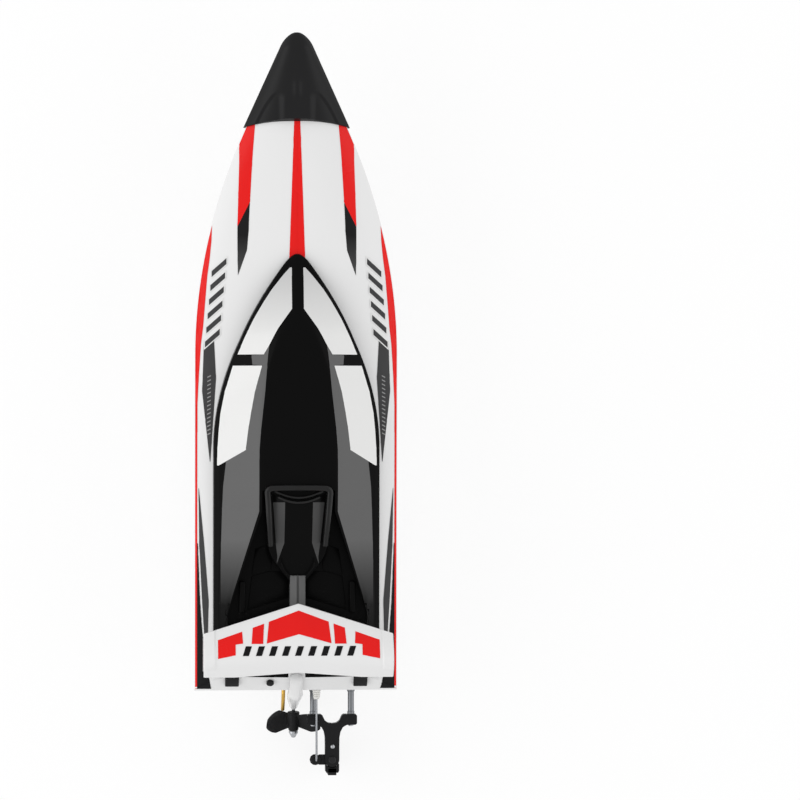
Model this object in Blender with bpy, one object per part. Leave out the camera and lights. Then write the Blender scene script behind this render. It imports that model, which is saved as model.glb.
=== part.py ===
"""Radio-controlled racing boat, closed, at its real size: metres, +Z up, bow towards +Y.

A station is the distance forward of the transom's foot. Sections are pairs of half width and height.
"""

import math

import bmesh
import bpy
from mathutils import Matrix, Vector

# Fits
GAP = 0.0003
OVERCUT = 0.004

# Hull lines
HULL_LENGTH = 0.377
BEAM = 0.117
WALL = 0.002
BOW_TAPER = 0.184
STEM_HALF = 0.0008
BOW_BLOCK = 0.030
KEEL_Z = 0.014
RIDING_PAD = 0.018
FOREFOOT = 0.150
STEM_FOOT_Z = 0.054
KEEL_CURVE = 2.4
SHEER_AFT_Z = 0.046
SHEER_BOW_Z = 0.060
SHEER_CURVE = 1.6
DEADRISE_AFT = math.radians(15)
DEADRISE_BOW = math.radians(42)
CHINE_SHARE = 0.86
SPRAY_RAIL = 0.0016

# Deck and hatch
GUNWALE = 0.0012
DECK_CROWN = 0.011
STEM_CROWN = 0.0008
CROWN_TAPER = 0.150
DECK_CURVE = 2.6
STERN_RAKE = 1.0
RAKE_FADE = 0.030
HATCH_HALF = 0.043
HATCH_TIP = 0.2445
HATCH_TAPER = 0.112
HATCH_AFT = 0.0184
LIP = 0.0025
LIP_HEIGHT = 0.003
LIP_SINK = 0.0008
LIP_START = 0.006
LIP_RAMP = 0.015
SHELF_LENGTH = 0.045
SHELF_TOP_Z = 0.0485
SHELF_THICK = 0.002
TAB_LENGTH = 0.006
TAB_WIDTH = 0.012
PLUG_X = -0.015
PLUG_STATION = 0.0052
PLUG_HEAD_R = 0.0022
PLUG_STEM_R = 0.0013

# Nose bumper
BUMPER_LEAD = 0.0017
BUMPER_LENGTH = 0.0547
BUMPER_NOSE = 0.0057
BUMPER_NOSE_LENGTH = 0.008
BUMPER_FLARE = 0.455
BUMPER_TUCK = 0.92
BUMPER_RISE = 0.0022
BUMPER_LOW_Z = 0.047
BUMPER_SWEEP = 0.0046
BUMPER_ROUND = 0.009

# Canopy and wing
CANOPY_WALL = 0.0016
CANOPY_CLEAR = 0.0009
CANOPY_NOSE = 0.0055
CANOPY_AFT = 0.0125
SKIRT_HEIGHT = 0.006
LEDGE = 0.003
ROOF_Z = 0.084
ROOF_HALF = 0.022
ROOF_TIP = 0.222
ROOF_TAPER = 0.070
ROOF_PEAK = 0.150
ROOF_AFT = 0.116
SPINE_HALF = 0.0036
WELL_Z = 0.0620
WELL_HALF = 0.040
WELL_FLARE = 0.081
RIM_AFT_Z = 0.066
RIM = 0.0015
COWL_FRONT = 0.1185
COWL_SHOULDER = 0.0847
COWL_TAIL = 0.064
COWL_AFT = 0.045
COWL_HALF = 0.0195
SHOULDER_HALF = 0.0172
TAIL_HALF = 0.0046
COWL_CLOSING = 1.65
COWL_RISE = 0.005
COWL_TAIL_Z = 0.073
MOUTH_DEPTH = 0.0045
WING_HALF = 0.054
WING_APEX = 0.0506
WING_SWEEP = 0.0171
WING_AFT = 0.0098
WING_FRONT_Z = 0.0815
WING_PEAK_Z = 0.090
WING_AFT_Z = 0.083
WING_THICK = 0.0022
END_PLATE = 0.0054
CLIP_INSET = 0.0215
CLIP_X = BEAM / 2 - CLIP_INSET
CLIP_WIDTH = 0.008
CLIP_REACH = 0.006
CLIP_THICK = 0.0015

# Drive line
SHAFT_PITCH = math.radians(5.5)
PROP_STATION = -0.020
PROP_Z = 0.0175
PROP_R = 0.0158
PROP_HUB_R = 0.0036
PROP_HUB_LENGTH = 0.011
PROP_CHORD = 0.013
PROP_BLADES = 2
BLADE_THICK = 0.0012
NUT_R = 0.0027
NUT_LENGTH = 0.004
SHAFT_R = 0.001
TUBE_R = 0.00215
TUBE_BORE_R = 0.0014
TUBE_FRONT = 0.111
SHAFT_FRONT = 0.127
COUPLING_R = 0.0032
COUPLING_AFT = 0.123
COUPLING_LENGTH = 0.0185
MOTOR_AFT = 0.144
MOTOR_LENGTH = 0.040
MOTOR_R = 0.0135
MOTOR_SHAFT_R = 0.00115
MOTOR_SHAFT_IN = 0.008
BELL_LENGTH = 0.003
TERMINAL_X = 0.009
TERMINAL_LENGTH = 0.0035
LEAD_ROOM = 0.024
TERMINAL_FRONT = MOTOR_AFT + MOTOR_LENGTH + BELL_LENGTH + TERMINAL_LENGTH
SHELF_AFT = TERMINAL_FRONT + LEAD_ROOM
COIL_TURNS = 6
COIL_PITCH = 0.0041
COIL_TUBE_R = 0.0017
COIL_CLEAR = 0.0004
COIL_FRONT = 0.1765
COIL_TAIL = 0.018
LOOP_POINTS = 24
MOUNT_THICK = 0.0032
MOUNT_HALF = 0.0165
MOUNT_RISE = 0.011
FOOT_INNER = 0.0148
FOOT_OUTER = 0.024
FOOT_Z = 0.0245
FOOT_AFT = 0.132
FOOT_FRONT = 0.1505
CLAMP_STATION = 0.091
CLAMP_HALF = 0.0097
CLAMP_LENGTH = 0.0076
CLAMP_COVER = 0.0022
CLAMP_LEG_X = 0.006
CLAMP_LEG_R = 0.003
STRUT_LENGTH = 0.0135
STRUT_R = 0.0042
STRUT_HALF = 0.0026
STRUT_BASE_HALF = 0.0045
STRUT_BASE = 0.0035
STRUT_TOP = 0.0056
SKEG_FRONT = 0.003

# Cooling water
PICKUP_X = -0.0062
PICKUP_Z = 0.025
PICKUP_R = 0.0011
HOSE_R = 0.002
SIDE_CLEAR = 0.011
SIDE_X = BEAM / 2 - SIDE_CLEAR
OUTLET_STATION = 0.160
OUTLET_Z = 0.041
OUTLET_R = 0.0018
OUTLET_LENGTH = 0.008
OUTLET_INNER_X = BEAM / 2 - OUTLET_LENGTH
OUTLET_TIP = 0.0002

# Steering
POST_LEFT_X = 0.0106
POST_RIGHT_X = 0.0325
POST_Z = 0.0362
POST_R = 0.002
POST_LENGTH = 0.0144
BRACKET_THICK = 0.0064
ARM_LENGTH = 0.006
ARM_HALF = 0.0037
CROTCH = 0.005
STEM_HALF_WIDTH = 0.0043
FORK_LENGTH = 0.0085
FORK_SLOT = 0.0026
PIN_STATION = -0.0411
PIN_R = 0.0013
PIN_HEAD_R = 0.0026
RUDDER_REACH = 0.050
RUDDER_FOOT_Z = 0.0015
RUDDER_CHORD_FRONT = 0.012
RUDDER_THICK = 0.0025
RUDDER_ANGLE = math.radians(25)
TILLER_R = 0.0098
TILLER_END_R = 0.0032
TILLER_HALF = 0.0024
ROD_R = 0.0006
BOOT_R = 0.0025
BOOT_LENGTH = 0.0055
SERVO_Z = 0.0274
SERVO_THICK = 0.0124
SERVO_LEFT_X = -0.015
SERVO_RIGHT_X = 0.0083
SERVO_AFT = 0.024
SERVO_LENGTH = 0.0217
SERVO_BOSS = 0.0033
SERVO_EAR_LEFT_X = -0.0017
SERVO_EAR_WIDTH = 0.0053
SERVO_EAR_REACH = 0.0056
HORN_STATION = 0.0395
HORN_HUB_R = 0.0036
HORN_THICK = 0.0016
STRAP_X = -0.0058
STRAP_WIDTH = 0.0066
STRAP_THICK = 0.002
CRADLE_POST_R = 0.003
CRADLE_SPREAD = 0.030
CRADLE_MID = 0.0350

# Power
PACK_SIDE = 0.0102
CELL_SPACING = 1.96
CELL_LENGTH = 0.0686
CELL_AFT = 0.070
BATTERY_RIGHT_X = -0.0115
CELL_R = (BEAM / 2 - PACK_SIDE + BATTERY_RIGHT_X) / (CELL_SPACING + 2)
PACK_FLOOR_Z = 0.0225
BATTERY_Z = PACK_FLOOR_Z + 1.32 * CELL_R
TRAY_WALL = 0.0012
TRAY_WALL_Z = 0.036
CLIP_PLATE = 0.0016
CLIP_POST_X = -0.0063
CLIP_POST_STATION = 0.103
CLIP_POST_R = 0.0016
CLIP_EYE_R = 0.0034
CLIP_LEFT_X = -0.0164
CLIP_LENGTH = 0.015
ESC_LEFT_X = -0.046
ESC_RIGHT_X = -0.027
ESC_AFT = 0.172
ESC_LENGTH = 0.042
ESC_TOP_Z = 0.043
LEAD_R = 0.0014
THIN_LEAD_R = 0.001
CHARGE_PLUG = (0.016, 0.010, 0.008)
SENSOR_X = -0.0135
SENSOR_STATION = 0.061
SENSOR_R = 0.0026
SENSOR_TOP_Z = 0.0225

TRANSOM_Y = -(HULL_LENGTH + BUMPER_LEAD - RUDDER_REACH) / 2

PARTS = bpy.data.collections.new("rc_boat")
CUTTERS = bpy.data.collections.new("cutters")


def clear_scene():
    for item in list(bpy.data.objects):
        bpy.data.objects.remove(item)
    bpy.context.scene.collection.children.link(PARTS)
    bpy.context.scene.collection.children.link(CUTTERS)


def place(x, station, z):
    return Vector((x, TRANSOM_Y + station, z))


def make_material(name, colour, roughness, metallic=0.0):
    material = bpy.data.materials.new(name)
    material.use_nodes = True
    shader = material.node_tree.nodes["Principled BSDF"]
    shader.inputs["Base Color"].default_value = (*colour, 1.0)
    shader.inputs["Roughness"].default_value = roughness
    shader.inputs["Metallic"].default_value = metallic
    return material


def paint(item, colour, roughness=0.4, metallic=0.0):
    item.data.materials.append(make_material(item.name, colour, roughness, metallic))
    return item


WHITE = (0.80, 0.80, 0.80)
BLACK = (0.012, 0.012, 0.013)
STEEL = (0.55, 0.56, 0.58)
BRASS = (0.60, 0.42, 0.14)
RED = (0.62, 0.03, 0.02)
CLEAR_GREY = (0.72, 0.74, 0.74)


# Building blocks


def finish(name, mesh):
    """Turns a bmesh into a smooth-shaded object of the boat."""
    bmesh.ops.recalc_face_normals(mesh, faces=mesh.faces)
    data = bpy.data.meshes.new(name)
    mesh.to_mesh(data)
    mesh.free()
    data.shade_smooth()
    data.set_sharp_from_angle(angle=math.radians(35))
    item = bpy.data.objects.new(name, data)
    PARTS.objects.link(item)
    return item


def loft(name, sections, closed=False):
    """A solid skin through sections of equally many points; a closed one runs round in a ring."""
    mesh = bmesh.new()
    rings = [[mesh.verts.new(point) for point in section] for section in sections]
    pairs = list(zip(rings, rings[1:]))
    if closed:
        pairs.append((rings[-1], rings[0]))
    else:
        mesh.faces.new(rings[0])
        mesh.faces.new(rings[-1])
    for near, far in pairs:
        for i in range(len(near)):
            j = (i + 1) % len(near)
            mesh.faces.new((near[i], near[j], far[j], far[i]))
    bmesh.ops.triangulate(mesh, faces=mesh.faces)
    return finish(name, mesh)


def box(name, low, high, tilt=0.0):
    """A box between two corners, turned about X through its centre by tilt."""
    low = Vector(low)
    high = Vector(high)
    mesh = bmesh.new()
    size = Matrix.Diagonal((*(high - low), 1.0))
    turn = Matrix.Rotation(tilt, 4, "X")
    bmesh.ops.create_cube(mesh, size=1.0, matrix=Matrix.Translation((low + high) / 2) @ turn @ size)
    return finish(name, mesh)


def rod(name, start, end, radius, end_radius=None, sides=20):
    """A round bar or cone between two points."""
    start = Vector(start)
    end = Vector(end)
    run = end - start
    turn = run.to_track_quat("Z", "Y").to_matrix().to_4x4()
    mesh = bmesh.new()
    bmesh.ops.create_cone(
        mesh,
        cap_ends=True,
        segments=sides,
        radius1=radius,
        radius2=radius if end_radius is None else end_radius,
        depth=run.length,
        matrix=Matrix.Translation((start + end) / 2) @ turn,
    )
    return finish(name, mesh)


def prism(name, outline, low, high, axis):
    """An outline of world points in a plane across axis, drawn out from low to high along it."""
    step = Vector([high - low if letter == axis else 0.0 for letter in "XYZ"])
    mesh = bmesh.new()
    points = []
    for point in outline:
        corner = Vector(point)
        corner["XYZ".index(axis)] = low
        points.append(mesh.verts.new(corner))
    base = mesh.faces.new(points)
    grown = bmesh.ops.extrude_face_region(mesh, geom=[base])
    tops = [item for item in grown["geom"] if isinstance(item, bmesh.types.BMVert)]
    bmesh.ops.translate(mesh, verts=tops, vec=step)
    return finish(name, mesh)


def hide(item):
    PARTS.objects.unlink(item)
    CUTTERS.objects.link(item)
    item.hide_render = True
    item.display_type = "WIRE"
    return item


def combine(target, other, operation):
    """Adds a Boolean and moves its helper among the cutters, once."""
    modifier = target.modifiers.new(other.name, "BOOLEAN")
    modifier.operation = operation
    modifier.object = other
    if other.name in PARTS.objects:
        hide(other)
    return target


def cut(target, *others):
    for other in others:
        combine(target, other, "DIFFERENCE")
    return target


def join(target, *others):
    for other in others:
        combine(target, other, "UNION")
    return target


def smooth_route(points, steps):
    """Points along a smooth curve through the given ones, straight at both ends."""
    knots = [Vector(point) for point in points]
    last = len(knots) - 1
    ways = []
    for i in range(len(knots)):
        before = knots[max(i - 1, 0)]
        after = knots[min(i + 1, last)]
        ways.append((after - before).normalized())
    route = []
    for i in range(last):
        start = knots[i]
        run = knots[i + 1] - start
        for step in range(steps):
            t = step / steps
            leave = ways[i] * run.length * (t - 2 * t**2 + t**3)
            arrive = ways[i + 1] * run.length * (t**3 - t**2)
            route.append(start + run * (3 * t**2 - 2 * t**3) + leave + arrive)
    route.append(knots[-1])
    return route


def arc(x, station, radius, start, end, steps=8):
    """Points of a plan round a centre, from one angle to another."""
    turns = [start + (end - start) * i / steps for i in range(steps + 1)]
    return [(x + radius * math.cos(turn), station + radius * math.sin(turn)) for turn in turns]


def stadium(start, end, radius):
    """Outline of a bar with round ends between two points of a plan, as pairs of x and station."""
    along = math.atan2(end[1] - start[1], end[0] - start[0])
    quarter = math.pi / 2
    outline = arc(*end, radius, along - quarter, along + quarter)
    outline += arc(*start, radius, along + quarter, along + 3 * quarter)
    return outline


def tube(name, points, radius, resolution=2):
    """A round tube with closed ends along the points."""
    curve = bpy.data.curves.new(name, "CURVE")
    curve.dimensions = "3D"
    curve.bevel_depth = radius
    curve.bevel_resolution = resolution
    curve.use_fill_caps = True
    spline = curve.splines.new("POLY")
    spline.points.add(len(points) - 1)
    for knot, point in zip(spline.points, points):
        knot.co = (*point, 1.0)
    item = bpy.data.objects.new(name, curve)
    PARTS.objects.link(item)
    return item


def carry(name, where, *items):
    """Parents the pieces of one moving body to an empty on its joint's axis."""
    anchor = bpy.data.objects.new(name, None)
    anchor.empty_display_size = 0.01
    anchor.location = where
    PARTS.objects.link(anchor)
    for item in items:
        item.parent = anchor
        item.matrix_parent_inverse = Matrix.Translation(where).inverted()


# Lines of the hull and deck


def ease(distance, length):
    """0 at a pointed end and 1 from length on, along a parabola."""
    return 1 - (1 - min(max(distance, 0.0), length) / length) ** 2


def half_beam(station):
    return STEM_HALF + (BEAM / 2 - STEM_HALF) * ease(HULL_LENGTH - station, BOW_TAPER)


def sheer_z(station):
    share = max(station, 0.0) / HULL_LENGTH
    return SHEER_AFT_Z + (SHEER_BOW_Z - SHEER_AFT_Z) * share**SHEER_CURVE


def bow_rise(station):
    return max(0.0, station - (HULL_LENGTH - FOREFOOT)) / FOREFOOT


def keel_z(station):
    return KEEL_Z + (STEM_FOOT_Z - KEEL_Z) * bow_rise(station) ** KEEL_CURVE


def pad_half(station):
    rise = bow_rise(station)
    return RIDING_PAD / 2 * (1 - rise) + STEM_HALF / 2 * rise


def chine(station):
    """Half width and height of the corner between bottom and side."""
    x = half_beam(station) * CHINE_SHARE
    slope = DEADRISE_AFT + (DEADRISE_BOW - DEADRISE_AFT) * bow_rise(station)
    return x, keel_z(station) + (x - pad_half(station)) * math.tan(slope)


def deck_z(x, station):
    crown = STEM_CROWN + (DECK_CROWN - STEM_CROWN) * ease(HULL_LENGTH - station, CROWN_TAPER)
    share = min(1.0, abs(x) / half_beam(station))
    return sheer_z(station) + GAP + GUNWALE + crown * (1 - share**DECK_CURVE)


def stern_shift(station, z):
    """How far the sloping stern has moved forward at this height."""
    fade = max(0.0, 1 - station / RAKE_FADE)
    return STERN_RAKE * max(0.0, z - sheer_z(0.0) - GAP) * fade


def section(station, half):
    """A closed ring of world points from the right half of a section, bottom to top."""
    ring = half + [(-x, z) for x, z in reversed(half)]
    return [place(x, station + stern_shift(station, z), z) for x, z in ring]


def stations(aft, front, count):
    """Stations that draw closer together towards the bow."""
    return [front - (front - aft) * (i / count) ** 1.6 for i in range(count + 1)]


def spray_rail(x):
    return min(SPRAY_RAIL, x / 10)


def hull_half(station):
    x, z = chine(station)
    rail = spray_rail(x)
    pad = (pad_half(station), keel_z(station))
    return [pad, (x, z), (x + rail, z), (half_beam(station), sheer_z(station))]


def bay_half(station, inset):
    """The hull's section drawn in by inset and left open at the top."""
    x, z = chine(station)
    rail = spray_rail(x)
    side = half_beam(station) - 1.05 * inset
    top = sheer_z(station)
    return [
        (max(pad_half(station) - 0.3 * inset, STEM_HALF / 4), keel_z(station) + inset),
        (x - inset, z + 1.1 * inset),
        (x + rail - 1.1 * inset, z + 1.6 * inset),
        (side, top),
        (side, top + OVERCUT),
    ]


DECK_SHARES = (1.0, 0.97, 0.9, 0.8, 0.66, 0.5, 0.3, 0.12)


def deck_half(station):
    edge = half_beam(station)
    crown = [(edge * share, deck_z(edge * share, station)) for share in DECK_SHARES]
    return [(edge, sheer_z(station) + GAP), *crown]


def under_deck_half(station):
    edge = half_beam(station) - 1.3 * WALL
    crown = [(edge * share, deck_z(edge * share, station) - 1.2 * WALL) for share in DECK_SHARES]
    return [(edge, sheer_z(station) - OVERCUT), *crown]


def arch_half(station, half, tip, taper):
    return half * ease(tip - station, taper)


ARCH_POINTS = 14


def arch(half, tip, taper, aft):
    """Outline of a hatch: square behind, pointed in front, as pairs of half width and station."""
    right = [(half, aft), (half, aft + (tip - taper - aft) / 2)]
    for i in range(ARCH_POINTS):
        station = tip - taper * (1 - i / ARCH_POINTS) ** 2
        right.append((arch_half(station, half, tip, taper), station))
    return [*right, (0.0, tip), *[(-x, station) for x, station in reversed(right)]]


def bay_space(name, inset):
    sides = stations(inset, HULL_LENGTH - BOW_BLOCK, 16)
    return loft(name, [section(s, bay_half(s, inset)) for s in sides])


# Shell


def build_hull():
    hull = loft("hull_shell", [section(s, hull_half(s)) for s in stations(0.0, HULL_LENGTH, 24)])
    cut(hull, bay_space("hull_bay", WALL))
    reach = 2 * WALL
    holes = [
        shaft_bar("shaft_hole", -reach, 2 * reach, TUBE_R + GAP),
        rod("rod_hole", place(ROD_X, -reach, ROD_Z), place(ROD_X, 2 * reach, ROD_Z), ROD_R + 3 * GAP),
        rod(
            "pickup_hole",
            place(PICKUP_X, -reach, PICKUP_Z),
            place(PICKUP_X, 2 * reach, PICKUP_Z),
            PICKUP_R + GAP,
        ),
        rod(
            "outlet_hole",
            place(-OUTLET_INNER_X, OUTLET_STATION, OUTLET_Z),
            place(-BEAM / 2 - reach, OUTLET_STATION, OUTLET_Z),
            OUTLET_R + GAP,
        ),
    ]
    cut(hull, *holes)
    return paint(hull, WHITE, 0.25)


def lip_z(x, station):
    """Top of the lip round the hatch, which sinks into the deck at the hatch's point."""
    rise = min(1.0, max(0.0, (HATCH_TIP - LIP_START - station) / LIP_RAMP))
    return deck_z(x, station) - LIP_SINK + (LIP_HEIGHT + LIP_SINK) * rise


def build_deck():
    deck = loft("deck_shell", [section(s, deck_half(s)) for s in stations(0.0, HULL_LENGTH, 24)])
    hollow = stations(1.6 * WALL, HULL_LENGTH - BOW_BLOCK, 16)
    cut(deck, loft("under_deck", [section(s, under_deck_half(s)) for s in hollow]))
    inner = arch(HATCH_HALF, HATCH_TIP, HATCH_TAPER, HATCH_AFT)
    outer = arch(HATCH_HALF + LIP, HATCH_TIP + LIP, HATCH_TAPER, HATCH_AFT - LIP)
    core = arch(HATCH_HALF - LIP, HATCH_TIP - LIP, HATCH_TAPER, HATCH_AFT + LIP)
    rings = []
    for (x, s), (wide_x, wide_s) in zip(core, outer):
        top = lip_z(wide_x, wide_s)
        foot = deck_z(x, s) - 0.8 * WALL
        wide_foot = deck_z(wide_x, wide_s) - 0.8 * WALL
        inside = [place(x, s, foot), place(x, s, top)]
        rings.append(inside + [place(wide_x, wide_s, top), place(wide_x, wide_s, wide_foot)])
    join(deck, loft("hatch_lip", rings, closed=True))
    hole = prism("hatch_hole", [place(x, s, 0.0) for x, s in inner], KEEL_Z, ROOF_Z, "Z")
    cut(deck, hole, plug_bar("plug_hole", -2 * WALL, 2 * WALL, PLUG_STEM_R + GAP))
    return paint(deck, WHITE, 0.25)


def build_shelf():
    """Plate across the hull under the front of the hatch, with the slotted tab for the canopy's hook."""
    low = SHELF_TOP_Z - SHELF_THICK
    front = SHELF_AFT + SHELF_LENGTH
    shelf = box("bow_shelf", place(-BEAM / 2, SHELF_AFT, low), place(BEAM / 2, front, SHELF_TOP_Z))
    half = TAB_WIDTH / 2
    tab_aft = SHELF_AFT - TAB_LENGTH
    tab = box("shelf_tab", place(-half, tab_aft, low), place(half, SHELF_AFT + half, SHELF_TOP_Z))
    slot = box(
        "tab_slot",
        place(-half / 2, tab_aft + TAB_LENGTH / 3, low - OVERCUT),
        place(half / 2, SHELF_AFT, SHELF_TOP_Z + OVERCUT),
    )
    join(shelf, tab)
    cut(shelf, slot)
    return paint(shelf, WHITE, 0.4)


STERN_OUT = Vector((0.0, -1.0, STERN_RAKE)).normalized()


def stern_point(x, station, lift):
    """A point lift above the sloping stern."""
    foot = place(x, station, sheer_z(0.0) + GAP + station / STERN_RAKE)
    return foot + STERN_OUT * lift


def plug_bar(name, low, high, radius):
    start = stern_point(PLUG_X, PLUG_STATION, low)
    return rod(name, start, stern_point(PLUG_X, PLUG_STATION, high), radius)


def build_plug():
    plug = plug_bar("drain_plug", GAP, GAP + PLUG_STEM_R, PLUG_HEAD_R)
    join(plug, plug_bar("plug_stem", -WALL, GAP + PLUG_STEM_R / 2, PLUG_STEM_R))
    return paint(plug, BLACK, 0.5)


def bumper_half(behind_tip):
    """A round nose that runs into straight sides."""
    return BUMPER_NOSE * ease(behind_tip, BUMPER_NOSE_LENGTH) ** 0.5 + BUMPER_FLARE * behind_tip


def build_bumper():
    """A thick cap that slips over the bow: its rear edge is swept back at the sides."""
    tip = HULL_LENGTH + BUMPER_LEAD
    rings = []
    for i in range(15):
        behind = BUMPER_LENGTH * max(i / 14, 0.02) ** 1.8
        station = tip - behind
        width = bumper_half(behind)
        swell = min(1.0, behind / BUMPER_ROUND) ** 0.5
        seat = min(station, HULL_LENGTH)
        middle = sheer_z(seat)
        top = GAP + GUNWALE + BUMPER_RISE + DECK_CROWN * ease(behind, CROWN_TAPER)
        low = (middle - BUMPER_LOW_Z) * swell
        half = [(BUMPER_TUCK * width, middle - low), (width, middle - low / 3), (width, middle + GUNWALE)]
        for share in DECK_SHARES[2:]:
            half.append((width * share, middle + GUNWALE + top * swell * (1 - share**DECK_CURVE)))
        ring = half + [(-x, z) for x, z in reversed(half)]
        sweep = BUMPER_SWEEP * behind / BUMPER_LENGTH
        rings.append([place(x, station + sweep * (1 - (x / width) ** 2), z) for x, z in ring])
    bumper = loft("nose_bumper", rings)
    seats = [HULL_LENGTH - BUMPER_LENGTH - OVERCUT + i * 0.006 for i in range(10)]
    seats = [s for s in seats if s < HULL_LENGTH] + [HULL_LENGTH]
    rings = []
    for station in seats:
        x, z = chine(station)
        half = [(pad_half(station) + GAP, keel_z(station) - GAP), (x + GAP, z - GAP)]
        half.append((x + spray_rail(x) + GAP, z - GAP))
        edge = half_beam(station) + GAP
        half.append((edge, sheer_z(station)))
        for share in DECK_SHARES:
            half.append((edge * share, deck_z(half_beam(station) * share, station) + GAP))
        rings.append([place(x, station, z) for x, z in half + [(-x, z) for x, z in reversed(half)]])
    rings.append([point + Vector((0.0, GAP, 0.0)) for point in rings[-1]])
    cut(bumper, loft("bow_seat", rings))
    return paint(bumper, BLACK, 0.45)


# Canopy


def canopy_half(station, inset):
    half = HATCH_HALF + LIP + CANOPY_CLEAR + CANOPY_WALL - inset
    tip = HATCH_TIP + LIP + CANOPY_NOSE - 2.4 * inset
    return arch_half(station, half, tip, HATCH_TAPER)


def roof_half(station):
    if station < ROOF_AFT:
        flare = min(1.0, (ROOF_AFT - station) / WELL_FLARE)
        return ROOF_HALF + RIM + (WELL_HALF - ROOF_HALF) * flare
    return max(SPINE_HALF, arch_half(station, ROOF_HALF + RIM, ROOF_TIP, ROOF_TAPER))


def roof_z(station):
    tip = HATCH_TIP + LIP + CANOPY_NOSE
    if station < ROOF_AFT:
        share = max(0.0, station - CANOPY_AFT) / (ROOF_AFT - CANOPY_AFT)
        return RIM_AFT_Z + (ROOF_Z - RIM_AFT_Z) * share**1.5
    start = deck_z(0.0, tip) + GAP + CANOPY_WALL
    share = min(1.0, (tip - station) / (tip - ROOF_PEAK))
    return start + (ROOF_Z - start) * math.sin(share * math.pi / 2) ** 1.1


def canopy_section(station, inset=0.0, drop=0.0, ceiling=None):
    """Section of the canopy drawn in by inset; drop lowers its foot and ceiling its top."""
    x = max(canopy_half(station, inset), 0.0004)
    small = min(1.0, x / 0.02)
    inner = max(x - 1.3 * CANOPY_WALL, x / 2)
    foot = deck_z(x, station) + GAP
    skirt = foot + SKIRT_HEIGHT * small - inset / 2
    ledge = skirt + LEDGE / 2 * small - inset / 3
    top = roof_z(station) - 1.2 * inset
    edge = min(roof_half(station) - 0.6 * inset, 0.8 * x)
    if ceiling is not None:
        skirt = min(skirt, ceiling - 2 * GAP)
        ledge = min(ledge, ceiling - GAP)
        top = ceiling
    half = [
        (inner, deck_z(inner, station) + GAP - drop),
        (x, foot - drop),
        (x - 0.0004 * small, skirt),
        (x - LEDGE * small, max(ledge, skirt + GAP / 2)),
        (edge, top),
        (0.3 * edge, top + 0.0008),
    ]
    return [place(x, station, z) for x, z in half + [(-x, z) for x, z in reversed(half)]]


def cowl_half(station):
    """Nearly straight back to the shoulder, then rounding in to the spine."""
    straight = (COWL_FRONT - station) / (COWL_FRONT - COWL_SHOULDER)
    if straight <= 1:
        return COWL_HALF + (SHOULDER_HALF - COWL_HALF) * straight
    closing = min(1.0, (COWL_SHOULDER - station) / (COWL_SHOULDER - COWL_TAIL))
    return SHOULDER_HALF + (TAIL_HALF - SHOULDER_HALF) * closing**COWL_CLOSING


def build_cowl():
    """Humped cowl behind the cockpit, running out into a narrow spine."""
    rings = []
    steps = 18
    for i in range(steps + 1):
        station = COWL_FRONT - (COWL_FRONT - COWL_AFT) * i / steps
        run = min(1.0, (COWL_FRONT - station) / (COWL_FRONT - COWL_TAIL))
        fall = (1 - math.cos(run * math.pi)) / 2
        width = cowl_half(station)
        top = ROOF_Z + COWL_RISE + (COWL_TAIL_Z - ROOF_Z - COWL_RISE) * fall
        base = WELL_Z - CANOPY_WALL / 2
        half = [(width, base), (0.96 * width, (base + 2 * top) / 3)]
        half += [(0.78 * width, top - 0.0015), (0.3 * width, top)]
        rings.append([place(x, station, z) for x, z in half + [(-x, z) for x, z in reversed(half)]])
    cowl = loft("cowl", rings)
    mouth = box(
        "cowl_mouth",
        place(-0.72 * COWL_HALF, COWL_FRONT - MOUTH_DEPTH, ROOF_Z + 0.0005),
        place(0.72 * COWL_HALF, COWL_FRONT + OVERCUT, ROOF_Z + COWL_RISE - 0.001),
    )
    return cut(cowl, mouth)


def build_canopy():
    tip = HATCH_TIP + LIP + CANOPY_NOSE
    front = [tip - (tip - ROOF_AFT) * (i / 12) ** 1.5 for i in range(13)]
    rear = [ROOF_AFT - (ROOF_AFT - CANOPY_AFT) * i / 6 for i in range(1, 7)]
    outer = [canopy_section(s) for s in [front[0] - GAP] + front[1:] + rear]
    canopy = loft("canopy_shell", outer)
    well = [
        (ROOF_HALF, ROOF_AFT),
        (WELL_HALF, ROOF_AFT - WELL_FLARE),
        (WELL_HALF, -OVERCUT),
    ]
    well += [(-x, s) for x, s in reversed(well)]
    cut(canopy, prism("cockpit_well", [place(x, s, 0.0) for x, s in well], WELL_Z, 2 * ROOF_Z, "Z"))
    inset = CANOPY_WALL
    inner_tip = tip - 2.4 * inset - 0.006
    inner_aft = ROOF_AFT + 2 * inset
    hollow = [inner_tip - (inner_tip - inner_aft) * (i / 10) ** 1.3 for i in range(11)]
    cut(canopy, loft("front_hollow", [canopy_section(s, inset, OVERCUT) for s in hollow]))
    low = WELL_Z - CANOPY_WALL
    behind = [CANOPY_AFT + inset, (CANOPY_AFT + ROOF_AFT) / 2, ROOF_AFT + 3 * inset]
    cut(canopy, loft("rear_hollow", [canopy_section(s, inset, OVERCUT, low) for s in behind]))
    edge = canopy_half(CANOPY_AFT, 1.5 * CANOPY_WALL)
    rings = []
    for station in (-OVERCUT, CANOPY_AFT + 2 * inset):
        half = [(edge * share, deck_z(edge * share, station) + GAP) for share in DECK_SHARES]
        half = [(edge, KEEL_Z), *half]
        rings.append([place(x, station, z) for x, z in half + [(-x, z) for x, z in reversed(half)]])
    cut(canopy, loft("stern_seat", rings))
    join(canopy, build_cowl())
    return paint(canopy, BLACK, 0.12)


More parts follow.
